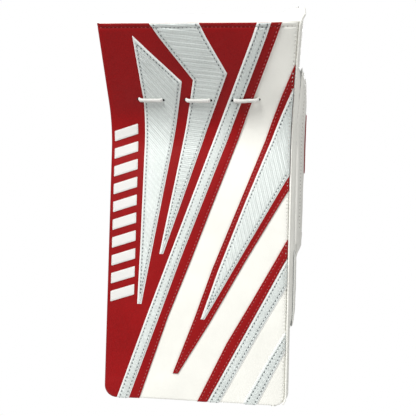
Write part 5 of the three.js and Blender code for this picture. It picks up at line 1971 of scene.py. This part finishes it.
def make_thumb_shield():
    """The padded leather shield over the thumb, quilted across and sewn down its sides."""
    start, end = SHIELD_ARC
    reach, turn = np.meshgrid(spaced(*SHIELD_REACH, 1.8), np.linspace(start, end, 44), indexing="ij")
    near = inside_grid(reach, turn, 0.3)
    channel = 1.0 * bump_at(reach, 27, 1.3) * smooth_step(near / 4)
    outer = thumb_point(reach, THUMB_RADIUS + 3.4 + 3.2 * round_over(near, 4) - channel, turn)
    inner = thumb_point(reach, THUMB_RADIUS + 1.0, turn)
    shield = thickened("thumb_shield_leather", outer, inner, [WHITE, FOAM])
    finish_piece(shield, "thumb", ["thumb_shield", "thumb_foam"])
    thread = Stitches("thumb_shield_stitches", GREY_THREAD)
    for at in (24.6, 29.4):
        line = thumb_point(at, THUMB_RADIUS + 6.4, np.linspace(start + 11, end - 11, 50))
        thread.follow(line, line - (THUMB_BASE + at * THUMB_DIRECTION))
    reach = np.linspace(10, 46, 30)
    for angle in (start + 6, end - 6):
        line = thumb_point(reach, THUMB_RADIUS + 5.6, angle)
        thread.follow(line, line - (THUMB_BASE + reach[:, None] * THUMB_DIRECTION))
    thread.make("thumb")


# ------------------------------------------------------------------ build

def make_all():
    """Every piece, then each thread's stitches as one object."""
    grey = Stitches("grey_stitches", GREY_THREAD)
    red = Stitches("red_stitches", RED_THREAD)
    white = Stitches("white_stitches", WHITE_THREAD)
    bar_edges = Stitches("bar_edge_stitches", SATIN_THREAD, 1.3, 0.42)
    make_face()
    stations = outline_stations()
    make_gussets(stations, white)
    make_top_gusset()
    make_back(stations, grey)
    make_core()
    make_piping()
    make_panels(grey, red)
    make_bars(bar_edges)
    for side, centre in LACE_CENTRES.items():
        make_lace(side, centre)
    make_seam_lines(grey, red, white)
    for name, guard in GUARDS.items():
        obj = make_guard(name, guard, white)
        if name == "upper":
            make_guard_patch(obj)
    make_guard_flap()
    make_guard_bridge()
    make_hand_pad()
    make_sleeve(grey)
    make_palm_patch(red)
    make_cuff(grey)
    make_cuff_pads()
    strap_stitches = Stitches("strap_stitches", GREY_THREAD)
    make_strap(white, strap_stitches)
    for number, (name, (place, length)) in enumerate(FINGERS.items()):
        make_finger(number, name, place, length)
    make_thumb_stall()
    make_thumb_shield()
    grey.make()
    red.make()
    white.make()
    bar_edges.make()
    strap_stitches.make("strap")

    # CAD parts that keep their own shape get their real finish.
    for name, material in {"stiffener": PLASTIC, "core_back": FOAM}.items():
        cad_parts[name].data.materials.clear()
        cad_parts[name].data.materials.append(material)


# ------------------------------------------------------------------ studio

CAMERA_PLACE = (0.05223, -0.54822, -0.01574)
# Degrees: turned to the left, tipped up and rolled from level.
CAMERA_YAW, CAMERA_PITCH, CAMERA_ROLL = 4.637, 0.976, 1.513
LENS = 41.32


def make_camera():
    """The camera in front of the face, a little to its right, turned, tipped and rolled slightly."""
    data = bpy.data.cameras.new("photo_camera")
    data.lens = LENS
    data.sensor_width = 36
    data.clip_start = 0.01
    camera = bpy.data.objects.new("photo_camera", data)
    bpy.context.scene.collection.objects.link(camera)
    turn = Matrix.Rotation(math.radians(CAMERA_YAW), 4, "Z")
    tip = Matrix.Rotation(math.radians(90 + CAMERA_PITCH), 4, "X")
    roll = Matrix.Rotation(math.radians(CAMERA_ROLL), 4, "Z")
    camera.matrix_world = Matrix.Translation(CAMERA_PLACE) @ turn @ tip @ roll
    bpy.context.scene.camera = camera


def area_light(name, place, size, power):
    """A soft light that faces the object."""
    data = bpy.data.lights.new(name, "AREA")
    data.shape = "RECTANGLE"
    data.size, data.size_y = size
    data.energy = power
    light = bpy.data.objects.new(name, data)
    bpy.context.scene.collection.objects.link(light)
    light.location = place
    light.rotation_euler = (-Vector(place)).to_track_quat("-Z", "Y").to_euler()


FLOOR_HEIGHT = -0.62
FLOOR_RADIUS = 0.8
PAPER = (0.95, 0.95, 0.95)
AMBIENT = 0.25


def make_studio():
    """A paper floor below the object, a white surround and three soft lights."""
    material, tree, shader = new_material("studio_paper", PAPER, 0.95)
    tinted(tree, shader, PAPER, noise(tree, coordinates(tree), 3), 0.99, 1.01)
    mesh = bpy.data.meshes.new("studio_floor")
    corners = [(FLOOR_RADIUS * math.cos(a), FLOOR_RADIUS * math.sin(a), FLOOR_HEIGHT)
               for a in np.linspace(0, 2 * math.pi, 96, endpoint=False)]
    mesh.from_pydata(corners, [], [list(range(96))])
    mesh.materials.append(material)
    floor = bpy.data.objects.new("studio_floor", mesh)
    bpy.context.scene.collection.objects.link(floor)

    # A white surround, dimmer as a light than as a background so that gloss stays deep.
    world = bpy.data.worlds.new("studio_world")
    world.use_nodes = True
    tree = world.node_tree
    background = tree.nodes["Background"]
    background.inputs["Color"].default_value = (1, 1, 1, 1)
    seen = node(tree, "ShaderNodeLightPath").outputs["Is Camera Ray"]
    tree.links.new(span(tree, seen, 0, 1, AMBIENT, 1.0), background.inputs["Strength"])
    bpy.context.scene.world = world
    area_light("key_soft", (-0.85, -1.35, 1.3), (0.7, 0.7), 51)
    area_light("fill_soft", (1.3, -0.8, 0.2), (0.8, 1.2), 8)
    area_light("back_soft", (0.4, 1.5, 1.0), (1.0, 1.0), 16)
    bpy.context.scene.view_settings.view_transform = "Standard"


make_all()
make_camera()
make_studio()
